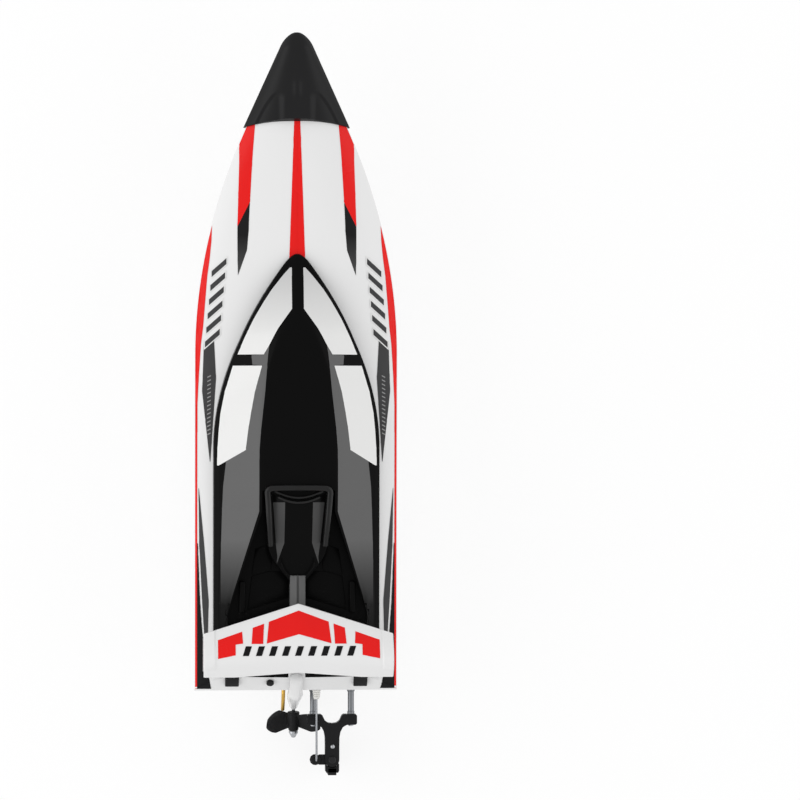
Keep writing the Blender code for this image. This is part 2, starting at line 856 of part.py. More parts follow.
def wing_section(x):
    """Ring round the wing's thickness at this distance from the centre line."""
    front = WING_APEX - WING_SWEEP * abs(x) / WING_HALF
    run = front - WING_AFT
    top = [
        (front, WING_FRONT_Z),
        (front - 0.3 * run, (WING_FRONT_Z + 2 * WING_PEAK_Z) / 3),
        (WING_AFT + 0.45 * run, WING_PEAK_Z),
        (WING_AFT + 0.25 * run, WING_PEAK_Z - 0.0008),
        (WING_AFT, WING_AFT_Z),
    ]
    under = [(s, z - WING_THICK) for s, z in reversed(top)]
    return [place(x, s, z) for s, z in top + under]


def build_wing():
    wing = loft("rear_wing", [wing_section(WING_HALF * share) for share in (-1, -0.5, 0, 0.5, 1)])
    for side in (-1, 1):
        rings = []
        for x in (WING_HALF - END_PLATE, WING_HALF - GAP):
            top = wing_section(x)
            front = top[0].y - TRANSOM_Y - 0.003
            aft = WING_AFT + 0.001
            rings.append(
                [
                    place(side * x, aft, deck_z(x, aft) + GAP),
                    place(side * x, front, deck_z(x, front) + GAP),
                    place(side * x, front, WING_FRONT_Z),
                    place(side * x, WING_AFT + 0.6 * (front - WING_AFT), WING_PEAK_Z - WING_THICK / 2),
                    place(side * x, aft, WING_AFT_Z - WING_THICK / 2),
                ]
            )
        join(wing, loft("end_plate", rings))
    return paint(wing, WHITE, 0.2)


def build_clip(side, name):
    """Hook on the canopy's rear edge that reaches over the stern."""
    x = side * CLIP_X
    highest = deck_z(CLIP_X - CLIP_WIDTH / 2, 0.0)
    start = (highest - sheer_z(0.0) - GAP) * STERN_RAKE
    lift = 2 * GAP
    edge = stern_point(x, start, lift)
    foot = stern_point(x, start - CLIP_REACH, lift)
    thick = STERN_OUT * CLIP_THICK
    rear = TRANSOM_Y + CANOPY_AFT - GAP
    top = edge.z + thick.z
    outline = [foot, edge, (x, rear, edge.z), (x, rear, top), (x, edge.y, top), foot + thick]
    return paint(
        prism(name, outline, x - CLIP_WIDTH / 2, x + CLIP_WIDTH / 2, "X"),
        BLACK,
        0.4,
    )


# Drive line


def on_shaft(station):
    return place(0.0, station, PROP_Z + (station - PROP_STATION) * math.tan(SHAFT_PITCH))


def shaft_bar(name, aft, front, radius, front_radius=None, sides=20):
    return rod(name, on_shaft(aft), on_shaft(front), radius, front_radius, sides)


SHAFT_ALONG = Vector((0.0, math.cos(SHAFT_PITCH), math.sin(SHAFT_PITCH)))
SHAFT_UP = Vector((0.0, -math.sin(SHAFT_PITCH), math.cos(SHAFT_PITCH)))
SHAFT_RIGHT = Vector((1.0, 0.0, 0.0))

HUB_FRONT = PROP_STATION + PROP_HUB_LENGTH / 2
HUB_AFT = PROP_STATION - PROP_HUB_LENGTH / 2
STRUT_AFT = HUB_FRONT + STRUT_R * math.tan(SHAFT_PITCH) + 2 * GAP


def build_motor():
    bell_aft = MOTOR_AFT + MOTOR_LENGTH + GAP
    can = shaft_bar("motor_can", MOTOR_AFT, MOTOR_AFT + MOTOR_LENGTH, MOTOR_R, sides=32)
    bore = shaft_bar(
        "motor_bore", MOTOR_AFT - OVERCUT, MOTOR_AFT + MOTOR_SHAFT_IN + GAP, MOTOR_SHAFT_R + GAP
    )
    paint(cut(can, bore), STEEL, 0.3, 0.9)
    bell = shaft_bar("motor_end_bell", bell_aft, bell_aft + BELL_LENGTH, 0.95 * MOTOR_R, sides=32)
    middle = on_shaft(bell_aft + BELL_LENGTH)
    for side in (-1, 1):
        x = side * TERMINAL_X
        low = middle + Vector((x - 0.0015, -BELL_LENGTH / 2, -0.0004))
        high = middle + Vector((x + 0.0015, TERMINAL_LENGTH, 0.0004))
        join(bell, box("terminal", low, high))
    paint(bell, BLACK, 0.5)
    return can


def coil_points():
    """One unbroken helix round the motor, with a straight tail at the top of each end."""
    radius = MOTOR_R + COIL_CLEAR + COIL_TUBE_R
    start = on_shaft(COIL_FRONT)
    points = [start + SHAFT_UP * radius - SHAFT_RIGHT * COIL_TAIL * share for share in (1.0, 0.6, 0.25)]
    for i in range(COIL_TURNS * LOOP_POINTS + 1):
        angle = 2 * math.pi * i / LOOP_POINTS
        spoke = SHAFT_UP * math.cos(angle) + SHAFT_RIGHT * math.sin(angle)
        along = SHAFT_ALONG * (-COIL_PITCH * i / LOOP_POINTS)
        points.append(start + along + spoke * radius)
    end = points[-1]
    points += [end + SHAFT_RIGHT * COIL_TAIL * share for share in (0.25, 0.6, 1.0)]
    return points


def least_gap(points, radius):
    """Smallest clear distance between turns, skipping neighbours along the tube."""
    skip = LOOP_POINTS // 2
    pairs = [(a, b) for i, a in enumerate(points) for b in points[i + skip :]]
    return min((a - b).length for a, b in pairs) - 2 * radius


def build_coil():
    points = coil_points()
    print("cooling_coil least gap to itself, mm:", round(1000 * least_gap(points, COIL_TUBE_R), 3))
    return paint(tube("cooling_coil", points, COIL_TUBE_R, 1), STEEL, 0.25, 1.0)


def build_mount(floor):
    """Plate across the motor's face with a foot screwed down at each side."""
    plate_mid = MOTOR_AFT - GAP - MOUNT_THICK / 2
    middle = on_shaft(plate_mid)
    half = MOUNT_THICK / 2
    mount = box(
        "motor_mount",
        (-MOUNT_HALF, middle.y - half, KEEL_Z),
        (MOUNT_HALF, middle.y + half, 2 * middle.z - KEEL_Z),
        SHAFT_PITCH,
    )
    for side in (-1, 1):
        inner, outer = sorted((side * FOOT_INNER, side * FOOT_OUTER))
        join(mount, box("foot", place(inner, FOOT_AFT, KEEL_Z), place(outer, FOOT_FRONT, FOOT_Z)))
    cap = middle.z + MOUNT_RISE
    cut(mount, box("mount_top", place(-BEAM, 0.0, cap), place(BEAM, HULL_LENGTH, 2 * ROOF_Z)))
    cut(mount, shaft_bar("mount_bore", plate_mid - 0.01, plate_mid + 0.01, COUPLING_R + 0.001))
    combine(mount, floor, "INTERSECT")
    return paint(mount, BLACK, 0.5)


def build_shafts():
    coupling_front = COUPLING_AFT + COUPLING_LENGTH
    bore = max(SHAFT_R, MOTOR_SHAFT_R) + GAP
    coupling = shaft_bar("shaft_coupling", COUPLING_AFT, coupling_front, COUPLING_R)
    cut(coupling, shaft_bar("coupling_bore", COUPLING_AFT - 0.01, coupling_front + 0.01, bore))
    paint(coupling, STEEL, 0.3, 1.0)
    middle = (SHAFT_FRONT + MOTOR_AFT) / 2
    pin = shaft_bar("motor_shaft", middle, MOTOR_AFT + MOTOR_SHAFT_IN, MOTOR_SHAFT_R, sides=16)
    paint(pin, STEEL, 0.2, 1.0)
    shaft = shaft_bar("drive_shaft", HUB_AFT - NUT_LENGTH / 2, SHAFT_FRONT, SHAFT_R, sides=16)
    paint(shaft, STEEL, 0.3, 1.0)
    casing = shaft_bar("shaft_tube", -2 * GAP, TUBE_FRONT, TUBE_R)
    cut(casing, shaft_bar("tube_bore", -0.01, TUBE_FRONT + 0.01, TUBE_BORE_R, sides=16))
    paint(casing, STEEL, 0.25, 1.0)
    return [coupling, pin, shaft]


def build_clamp(floor):
    middle = on_shaft(CLAMP_STATION)
    top = middle.z + TUBE_R + CLAMP_COVER
    half = CLAMP_LENGTH / 2
    clamp = box(
        "shaft_clamp",
        (-CLAMP_HALF, middle.y - half, middle.z),
        (CLAMP_HALF, middle.y + half, top),
    )
    for side in (-1, 1):
        x = side * CLAMP_LEG_X
        join(clamp, rod("clamp_leg", (x, middle.y, KEEL_Z), (x, middle.y, top - CLAMP_COVER), CLAMP_LEG_R))
    cut(clamp, shaft_bar("clamp_bore", CLAMP_STATION - 0.02, CLAMP_STATION + 0.02, TUBE_R + GAP))
    combine(clamp, floor, "INTERSECT")
    return paint(clamp, BLACK, 0.5)


def build_strut():
    """Fin on the transom that carries the shaft's end, with a skeg under it."""
    line = on_shaft(STRUT_AFT).z
    low = stern_point(0.0, 0.0, 2 * GAP)
    high = stern_point(0.0, STRUT_TOP, 2 * GAP)
    aft = TRANSOM_Y + STRUT_AFT
    face = TRANSOM_Y - GAP
    outline = [
        (0.0, face - SKEG_FRONT, 0.0),
        (0.0, face, KEEL_Z / 2),
        low,
        high,
        (0.0, TRANSOM_Y + STRUT_TOP / 2, high.z + 0.001),
        (0.0, aft + 0.75 * STRUT_LENGTH, low.z),
        (0.0, aft + 0.3 * STRUT_LENGTH, (low.z + line) / 2),
        (0.0, aft, line + STRUT_R / 2),
        (0.0, aft, KEEL_Z / 2),
        (0.0, aft + 0.001, 0.0),
    ]
    strut = prism("shaft_strut", outline, -STRUT_HALF, STRUT_HALF, "X")
    base = [
        (0.0, face, KEEL_Z),
        low,
        high,
        (0.0, high.y - STRUT_BASE, high.z),
        (0.0, face - STRUT_BASE, low.z - STRUT_BASE),
        (0.0, face - STRUT_BASE, KEEL_Z),
    ]
    join(strut, prism("strut_base", base, -STRUT_BASE_HALF, STRUT_BASE_HALF, "X"))
    front = -GAP - STRUT_R * math.tan(SHAFT_PITCH)
    join(strut, shaft_bar("strut_barrel", STRUT_AFT, front, 0.85 * STRUT_R, STRUT_R))
    cut(strut, shaft_bar("strut_bore", STRUT_AFT - 0.01, 0.01, SHAFT_R + GAP))
    cut(strut, shaft_bar("strut_socket", -4 * GAP, 0.01, TUBE_R + GAP))
    return paint(strut, WHITE, 0.3)


def blade_ring(radius, start):
    """Section of a propeller blade: a thin lens turned by the pitch at this radius."""
    share = radius / PROP_R
    chord = PROP_CHORD * math.sqrt(max(0.05, 1 - (2 * share - 1.1) ** 2))
    chord = min(chord, 0.9 * PROP_HUB_LENGTH / math.cos(math.radians(35)))
    turn = math.radians(62 - 30 * share)
    across = SHAFT_UP.cross(SHAFT_ALONG)
    spoke = Matrix.Rotation(start, 3, SHAFT_ALONG) @ SHAFT_UP
    across = Matrix.Rotation(start, 3, SHAFT_ALONG) @ across
    run = across * math.cos(turn) + SHAFT_ALONG * math.sin(turn)
    face = run.cross(spoke).normalized()
    middle = on_shaft(PROP_STATION) + spoke * radius
    lens = [(-0.5, 0.0), (-0.2, 0.5), (0.2, 0.5), (0.5, 0.0), (0.2, -0.5), (-0.2, -0.5)]
    return [middle + run * chord * a + face * BLADE_THICK * b for a, b in lens]


def build_propeller():
    hub = shaft_bar("propeller", HUB_AFT, HUB_FRONT, 0.85 * PROP_HUB_R, PROP_HUB_R)
    radii = [PROP_HUB_R / 2 + (PROP_R - PROP_HUB_R / 2) * i / 6 for i in range(7)]
    for i in range(PROP_BLADES):
        start = math.radians(75) + 2 * math.pi * i / PROP_BLADES
        join(hub, loft("blade", [blade_ring(radius, start) for radius in radii]))
    cut(hub, shaft_bar("hub_bore", HUB_AFT - 0.01, HUB_FRONT + 0.01, SHAFT_R + GAP))
    paint(hub, BLACK, 0.35)
    aft = HUB_AFT - GAP - NUT_LENGTH
    nut = shaft_bar("propeller_nut", aft, HUB_AFT - GAP, NUT_R / 3, NUT_R)
    cut(nut, shaft_bar("nut_bore", HUB_AFT - NUT_LENGTH / 2 - GAP, HUB_AFT + 0.01, SHAFT_R + GAP))
    paint(nut, STEEL, 0.2, 1.0)
    return [hub, nut]


# Cooling water


def build_water():
    x = PICKUP_X
    z = PICKUP_Z
    route = [place(x, 0.006, z), place(x, 0.0, z), place(x, -0.004, z - 0.0008), place(x, -0.0135, z - 0.009)]
    paint(tube("water_pickup", smooth_route(route, 4), PICKUP_R), BRASS, 0.3, 1.0)
    coil = coil_points()
    step = Vector((GAP, 0.0, 0.0))
    inlet = [
        coil[-1] + step,
        coil[-1] + 10 * step,
        place(SIDE_X - 0.0135, 0.144, 0.0455),
        place(SIDE_X - 0.0035, 0.130, 0.0395),
        place(SIDE_X, 0.100, 0.0370),
        place(SIDE_X, 0.060, 0.0365),
        place(SIDE_X - 0.0025, 0.030, 0.0355),
        place(SIDE_X - 0.0115, 0.0125, 0.031),
        place(0.022, 0.008, 0.0285),
        place(0.008, 0.009, 0.0285),
        place(-0.002, 0.012, 0.0275),
        place(x, 0.0095, z + 0.0002),
        place(x, 0.006 + GAP, z),
    ]
    paint(tube("inlet_hose", smooth_route(inlet, 4), HOSE_R), CLEAR_GREY, 0.2)
    end = place(-OUTLET_INNER_X + GAP, OUTLET_STATION, OUTLET_Z)
    outlet = [
        coil[0] - step,
        coil[0] - 10 * step,
        place(-0.031, 0.174, 0.0505),
        place(-0.042, 0.164, 0.0460),
        end + 8 * step,
        end,
    ]
    paint(tube("outlet_hose", smooth_route(outlet, 4), HOSE_R), CLEAR_GREY, 0.2)
    tip = place(-BEAM / 2 + OUTLET_TIP, OUTLET_STATION, OUTLET_Z)
    nipple = rod("water_outlet", end - step, tip, OUTLET_R)
    paint(nipple, BRASS, 0.3, 1.0)


# Steering

PIN_X = (POST_LEFT_X + POST_RIGHT_X) / 2
SWING = (1 - math.cos(RUDDER_ANGLE)) / 2
ROD_X = PIN_X - TILLER_R * (1 - SWING)
HORN_Z = SERVO_Z + SERVO_THICK / 2
ROD_Z = HORN_Z + TILLER_R * (1 - SWING)
ROD_HOLE_R = ROD_R + TILLER_R * SWING + 2 * GAP
SLOT_Z = POST_Z


def build_bracket():
    low = POST_Z - BRACKET_THICK / 2
    high = POST_Z + BRACKET_THICK / 2
    front = -POST_LENGTH - GAP
    left = POST_LEFT_X - ARM_HALF
    right = POST_RIGHT_X + ARM_HALF
    neck = PIN_STATION + FORK_LENGTH
    half = STEM_HALF_WIDTH
    outline = [
        (left, front),
        (POST_LEFT_X + ARM_HALF, front),
        (PIN_X, front - CROTCH),
        (POST_RIGHT_X - ARM_HALF, front),
        (right, front),
        (right, front - ARM_LENGTH),
        (PIN_X + half, neck),
    ]
    outline += arc(PIN_X, PIN_STATION, half, 0.0, -math.pi)
    outline += [(PIN_X - half, neck), (left, front - ARM_LENGTH)]
    bracket = prism("rudder_bracket", [place(x, s, 0.0) for x, s in outline], low, high, "Z")
    slot = box(
        "fork_slot",
        place(PIN_X - 2 * half, PIN_STATION - 2 * half, SLOT_Z - FORK_SLOT / 2),
        place(PIN_X + 2 * half, neck, SLOT_Z + FORK_SLOT / 2),
    )
    top = place(PIN_X, PIN_STATION, high + OVERCUT)
    cut(bracket, slot, rod("pin_hole", place(PIN_X, PIN_STATION, low - OVERCUT), top, PIN_R + GAP))
    paint(bracket, BLACK, 0.5)
    pin = rod("rudder_pin", place(PIN_X, PIN_STATION, low), place(PIN_X, PIN_STATION, high + GAP), PIN_R)
    head_low = place(PIN_X, PIN_STATION, high + GAP)
    join(pin, rod("pin_head", head_low, place(PIN_X, PIN_STATION, high + PIN_R + GAP), PIN_HEAD_R))
    paint(pin, STEEL, 0.3, 1.0)
    for x, name in ((POST_LEFT_X, "rudder_post_left"), (POST_RIGHT_X, "rudder_post_right")):
        paint(rod(name, place(x, -GAP, POST_Z), place(x, -POST_LENGTH, POST_Z), POST_R), STEEL, 0.3, 1.0)


def build_rudder():
    """Tiller plate in the fork, a spine behind it and the blade under the bracket."""
    ear = STEM_HALF_WIDTH
    spine_front = PIN_STATION - ear - 2 * GAP
    thick = FORK_SLOT - 2 * GAP
    low = SLOT_Z - thick / 2
    high = SLOT_Z + thick / 2
    hub = 0.9 * ear
    corner = math.asin(TILLER_HALF / hub)
    end_corner = math.asin(TILLER_HALF / TILLER_END_R)
    tail = RUDDER_THICK / 2 - RUDDER_REACH
    end_x = PIN_X - TILLER_R
    outline = [(PIN_X - TILLER_HALF, tail), (PIN_X + TILLER_HALF, tail)]
    outline += arc(PIN_X, PIN_STATION, hub, corner - math.pi / 2, math.pi - corner)
    outline += arc(end_x, PIN_STATION, TILLER_END_R, end_corner, 2 * math.pi - end_corner)
    outline += arc(PIN_X, PIN_STATION, hub, math.pi + corner, 1.5 * math.pi - corner)
    rudder = prism("rudder", [place(x, s, 0.0) for x, s in outline], low, high, "Z")
    half = RUDDER_THICK / 2
    blade_top = POST_Z - BRACKET_THICK / 2 - 2 * GAP
    pieces = [
        box(
            "tail_spine",
            place(PIN_X - TILLER_HALF, -RUDDER_REACH, RUDDER_FOOT_Z + TILLER_R),
            place(PIN_X + TILLER_HALF, spine_front, POST_Z + BRACKET_THICK / 2),
        ),
        prism(
            "blade",
            [
                place(PIN_X, spine_front, blade_top),
                place(PIN_X, PIN_STATION + RUDDER_CHORD_FRONT, blade_top),
                place(PIN_X, PIN_STATION + RUDDER_CHORD_FRONT - 0.003, RUDDER_FOOT_Z),
                place(PIN_X, half - RUDDER_REACH, RUDDER_FOOT_Z),
                place(PIN_X, half - RUDDER_REACH, blade_top),
            ],
            PIN_X - half,
            PIN_X + half,
            "X",
        ),
    ]
    join(rudder, *pieces)
    holes = [
        rod(
            "tiller_pin_hole",
            place(PIN_X, PIN_STATION, low - FORK_SLOT / 2),
            place(PIN_X, PIN_STATION, high + FORK_SLOT / 2),
            PIN_R + GAP,
        ),
        rod(
            "tiller_hole",
            place(end_x, PIN_STATION, low - OVERCUT),
            place(end_x, PIN_STATION, high + OVERCUT),
            ROD_HOLE_R,
        ),
    ]
    cut(rudder, *holes)
    return paint(rudder, BLACK, 0.5)


HORN_LEFT_X = SERVO_RIGHT_X + SERVO_BOSS + GAP + HORN_THICK


def build_pushrod():
    """Wire from the horn to the tiller, with a bent end in each."""
    low = SLOT_Z - FORK_SLOT / 2 + GAP
    bend = 0.0012
    points = [
        (HORN_LEFT_X + HORN_THICK + 2 * GAP, HORN_STATION, ROD_Z),
        (ROD_X + bend, HORN_STATION, ROD_Z),
        (ROD_X, HORN_STATION - bend, ROD_Z),
        (ROD_X, PIN_STATION + bend, ROD_Z),
        (ROD_X, PIN_STATION, ROD_Z - bend),
        (ROD_X, PIN_STATION, low),
    ]
    wire = tube("pushrod", [place(*point) for point in points], ROD_R)
    paint(wire, STEEL, 0.3, 1.0)
    boot_ends = [place(ROD_X, -BOOT_LENGTH, ROD_Z), place(ROD_X, -GAP, ROD_Z)]
    boot = rod("pushrod_boot", *boot_ends, 0.8 * BOOT_R, BOOT_R)
    cut(boot, rod("boot_bore", place(ROD_X, -0.02, ROD_Z), place(ROD_X, 0.02, ROD_Z), ROD_R + GAP))
    paint(boot, WHITE, 0.5)
    return wire


def build_servo(floor):
    top = SERVO_Z + SERVO_THICK
    front = SERVO_AFT + SERVO_LENGTH
    case = box("servo_case", place(SERVO_LEFT_X, SERVO_AFT, SERVO_Z), place(SERVO_RIGHT_X, front, top))
    ear_right = SERVO_EAR_LEFT_X + SERVO_EAR_WIDTH
    ears = box(
        "servo_ears",
        place(SERVO_EAR_LEFT_X, SERVO_AFT - SERVO_EAR_REACH, SERVO_Z + GAP),
        place(ear_right, front + SERVO_EAR_REACH, top - GAP),
    )
    hub = place(SERVO_RIGHT_X - 0.002, HORN_STATION, HORN_Z)
    hub_end = place(SERVO_RIGHT_X + SERVO_BOSS, HORN_STATION, HORN_Z)
    boss = rod("servo_boss", hub, hub_end, SERVO_THICK / 2 - GAP)
    paint(join(case, ears, boss), BLACK, 0.4)
    ends = [CRADLE_MID - CRADLE_SPREAD / 2, CRADLE_MID + CRADLE_SPREAD / 2]
    strap_low = top + GAP
    half = STRAP_WIDTH / 2
    strap_high = strap_low + STRAP_THICK
    plan = stadium((STRAP_X, ends[0]), (STRAP_X, ends[1]), half)
    strap = prism("servo_strap", [place(x, s, 0.0) for x, s in plan], strap_low, strap_high, "Z")
    pad = box(
        "servo_cradle",
        place(SERVO_LEFT_X + GAP, ends[0], KEEL_Z),
        place(-TUBE_R - 2 * GAP, ends[1], SERVO_Z - GAP - TUBE_R),
    )
    rest = box(
        "cradle_rest",
        place(SERVO_LEFT_X + GAP, SERVO_AFT + GAP, KEEL_Z),
        place(STRAP_X - half, front - GAP, SERVO_Z - GAP),
    )
    join(pad, rest)
    for station in ends:
        low = place(STRAP_X, station, KEEL_Z)
        join(pad, rod("cradle_post", low, place(STRAP_X, station, top), CRADLE_POST_R))
    combine(pad, floor, "INTERSECT")
    paint(pad, WHITE, 0.5)
    paint(strap, WHITE, 0.4)


def build_horn():
    left = HORN_LEFT_X
    right = left + HORN_THICK
    hub = [place(left - HORN_THICK, HORN_STATION, HORN_Z), place(right - GAP, HORN_STATION, HORN_Z)]
    horn = rod("servo_horn", *hub, HORN_HUB_R)
    tip_r = ROD_HOLE_R + HORN_THICK / 2
    arm = box(
        "horn_arm",
        place(left, HORN_STATION - tip_r, HORN_Z),
        place(right, HORN_STATION + tip_r, HORN_Z + TILLER_R),
    )
    tip = [place(x, HORN_STATION, HORN_Z + TILLER_R) for x in (left, right)]
    join(horn, arm, rod("horn_tip", *tip, tip_r))
    hole = [place(x, HORN_STATION, HORN_Z + TILLER_R) for x in (left - OVERCUT, right + OVERCUT)]
    cut(horn, rod("horn_hole", *hole, ROD_HOLE_R))
    return paint(horn, WHITE, 0.4)


# Power


def build_battery(floor):
    right = BATTERY_RIGHT_X - CELL_R
    left = right - CELL_SPACING * CELL_R
    front = CELL_AFT + CELL_LENGTH
    cells = []
    for name, x in (("battery_pack", right), ("cell", left)):
        ends = [place(x, CELL_AFT, BATTERY_Z), place(x, front, BATTERY_Z)]
        cells.append(rod(name, *ends, CELL_R, sides=24))
    pack, other = cells
    web = box(
        "wrap",
        place(left, CELL_AFT + GAP, BATTERY_Z - 0.9 * CELL_R),
        place(right, front - GAP, BATTERY_Z + 0.9 * CELL_R),
    )
    paint(join(pack, other, web), (0.03, 0.22, 0.62), 0.35)
    base_z = BATTERY_Z - CELL_R - GAP
    tray_front = FOOT_AFT - 2 * GAP
    edge = BATTERY_RIGHT_X + GAP + TRAY_WALL
    tray = box("battery_tray", place(left - CELL_R, CELL_AFT, KEEL_Z), place(edge, tray_front, base_z))
    wall = box(
        "tray_wall",
        place(BATTERY_RIGHT_X + GAP, CELL_AFT + GAP, base_z - TRAY_WALL),
        place(edge - GAP / 3, tray_front - GAP, TRAY_WALL_Z),
    )
    foot_half = CLIP_EYE_R - 3 * GAP
    foot = box(
        "clip_foot",
        place(edge - TRAY_WALL, CLIP_POST_STATION - foot_half, KEEL_Z),
        place(CLIP_POST_X + foot_half, CLIP_POST_STATION + foot_half, base_z - GAP),
    )
    clip_low = BATTERY_Z + CELL_R + GAP
    clip_high = clip_low + CLIP_PLATE
    post = [place(CLIP_POST_X, CLIP_POST_STATION, z) for z in (base_z - TRAY_WALL, clip_low - GAP, clip_high)]
    shoulder = rod("clip_shoulder", post[0], post[1], foot_half)
    spindle = rod("clip_spindle", post[0], post[2], CLIP_POST_R)
    join(tray, wall, foot, shoulder, spindle)
    combine(tray, floor, "INTERSECT")
    paint(tray, WHITE, 0.5)
    eye = [place(CLIP_POST_X, CLIP_POST_STATION, z) for z in (clip_low, clip_high)]
    clip = rod("battery_clip", *eye, CLIP_EYE_R)
    half = CLIP_LENGTH / 2
    join(
        clip,
        box(
            "clip_plate",
            place(CLIP_LEFT_X, CLIP_POST_STATION - half, clip_low),
            place(CLIP_POST_X - CLIP_POST_R - GAP, CLIP_POST_STATION + half, clip_high),
        ),
    )
    hole = [place(CLIP_POST_X, CLIP_POST_STATION, z) for z in (clip_low - OVERCUT, clip_high + OVERCUT)]
    cut(clip, rod("clip_hole", *hole, CLIP_POST_R + GAP))
    return paint(clip, WHITE, 0.4)


def build_electronics(floor):
    esc = box(
        "esc_box",
        place(ESC_LEFT_X, ESC_AFT, KEEL_Z),
        place(ESC_RIGHT_X, ESC_AFT + ESC_LENGTH, ESC_TOP_Z),
    )
    paint(combine(esc, floor, "INTERSECT"), (0.02, 0.05, 0.03), 0.5)
    sensor = rod(
        "water_sensor",
        place(SENSOR_X, SENSOR_STATION, KEEL_Z),
        place(SENSOR_X, SENSOR_STATION, SENSOR_TOP_Z),
        SENSOR_R,
    )
    paint(combine(sensor, floor, "INTERSECT"), BLACK, 0.5)
    plug_low = place(0.012, SHELF_AFT + 0.004, SHELF_TOP_Z - SHELF_THICK - GAP - CHARGE_PLUG[2])
    plug = box("charge_plug", plug_low, plug_low + Vector(CHARGE_PLUG))
    paint(plug, RED, 0.5)


def build_leads():
    """Leads along their routes through the bay; each ends a gap short of what it is wired to."""
    terminal = on_shaft(TERMINAL_FRONT)
    lift = Vector((0.0, LEAD_R + 3 * GAP, 0.0))
    red_start = terminal + lift + Vector((TERMINAL_X, 0.0, 0.0))
    black_start = terminal + lift + Vector((-TERMINAL_X, 0.0, 0.0))
    esc_top = ESC_TOP_Z + GAP
    esc_back = ESC_AFT - GAP
    esc_side = ESC_RIGHT_X + GAP
    cell_front = CELL_AFT + CELL_LENGTH + GAP
    plug_aft = SHELF_AFT + 0.004 - GAP
    plug_z = SHELF_TOP_Z - SHELF_THICK - GAP - CHARGE_PLUG[2] / 2
    routes = {
        "motor_lead_red": [
            red_start,
            red_start + Vector((-0.001, 0.004, 0.005)),
            place(0.000, TERMINAL_FRONT + 0.0085, 0.0495),
            place(-0.014, TERMINAL_FRONT + 0.0035, 0.0515),
            place(-0.026, TERMINAL_FRONT - 0.0025, 0.0490),
            place(-0.031, 0.187, esc_top + 0.0025),
            place(-0.031, 0.187, esc_top),
        ],
        "motor_lead_black": [
            black_start,
            black_start + Vector((-0.002, 0.004, 0.003)),
            place(-0.018, 0.196, 0.0440),
            place(-0.024, 0.198, 0.0460),
            place(-0.031, 0.198, 0.0460),
            place(-0.034, 0.198, esc_top + 0.0018),
            place(-0.034, 0.198, esc_top),
        ],
        "battery_lead_red": [
            place(-0.0205, cell_front, 0.0390),
            place(-0.0205, cell_front + 0.004, 0.0390),
            place(-0.026, 0.152, 0.0440),
            place(-0.035, 0.160, 0.0430),
            place(-0.036, esc_back - 0.004, 0.0370),
            place(-0.036, esc_back, 0.0370),
        ],
        "battery_lead_black": [
            place(-0.0245, cell_front, 0.0360),
            place(-0.0245, cell_front + 0.004, 0.0360),
            place(-0.030, 0.152, 0.0390),
            place(-0.040, 0.160, 0.0385),
            place(-0.0415, esc_back - 0.004, 0.0350),
            place(-0.0415, esc_back, 0.0350),
        ],
        "plug_lead_red": [
            place(esc_side, 0.208, 0.0385),
            place(esc_side + 0.004, 0.208, 0.0385),
            place(-0.010, 0.204, 0.0420),
            place(0.006, 0.203, 0.0425),
            place(0.016, plug_aft - 0.004, plug_z),
            place(0.016, plug_aft, plug_z),
        ],
        "plug_lead_black": [
            place(esc_side, 0.2035, 0.0345),
            place(esc_side + 0.004, 0.2035, 0.0345),
            place(-0.008, 0.199, 0.0380),
            place(0.010, 0.199, 0.0385),
            place(0.024, plug_aft - 0.005, plug_z),
            place(0.024, plug_aft, plug_z),
        ],
        "servo_lead": [
            place(-0.011, SERVO_AFT + SERVO_LENGTH + GAP, HORN_Z),
            place(-0.011, 0.0500, HORN_Z),
            place(-0.004, 0.0580, 0.0400),
            place(0.012, 0.0570, 0.0420),
            place(0.030, 0.0490, 0.0420),
            place(SIDE_X - 0.0045, 0.0540, 0.0430),
            place(SIDE_X - 0.001, 0.0800, 0.0432),
            place(SIDE_X - 0.001, 0.1300, 0.0440),
            place(SIDE_X - 0.0035, 0.1750, 0.0440),
            place(0.0300, 0.1960, 0.0370),
            place(0.0080, 0.2050, 0.0330),
            place(-0.0120, 0.2040, 0.0310),
            place(esc_side + 0.004, 0.1970, 0.0310),
            place(esc_side, 0.1970, 0.0310),
        ],
    }
    looks = {"red": RED, "black": BLACK, "lead": (0.75, 0.22, 0.04)}
    for name, route in routes.items():
        radius = THIN_LEAD_R if name == "servo_lead" else LEAD_R
        paint(tube(name, smooth_route(route, 4), radius), looks[name.split("_")[-1]], 0.5)


def build():
    clear_scene()
    build_hull()
    build_deck()
    floor = bay_space("bay_clear", WALL + GAP)
    combine(build_shelf(), floor, "INTERSECT")
    build_plug()
    build_motor()
    build_coil()
    build_mount(floor)
    build_clamp(floor)
    build_strut()
    build_water()
    build_bracket()
    build_servo(floor)
    build_electronics(floor)
    build_leads()
    tip = place(0.0, HULL_LENGTH, SHEER_BOW_Z)
    carry("bumper_pull", tip, build_bumper())
    clips = [build_clip(-1, "canopy_clip_left"), build_clip(1, "canopy_clip_right")]
    carry("canopy_lift", place(0.0, ROOF_AFT, WELL_Z), build_canopy(), build_wing(), *clips)
    carry("drive_axis", on_shaft(PROP_STATION), *build_shafts(), *build_propeller())
    carry("rudder_axis", place(PIN_X, PIN_STATION, POST_Z), build_rudder())
    carry("pushrod_axis", place(ROD_X, HORN_STATION, ROD_Z), build_pushrod())
    carry("horn_axis", place(HORN_LEFT_X, HORN_STATION, HORN_Z), build_horn())
    carry("clip_axis", place(CLIP_POST_X, CLIP_POST_STATION, BATTERY_Z), build_battery(floor))


build()
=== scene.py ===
import math
import bpy
from mathutils import Matrix, Vector


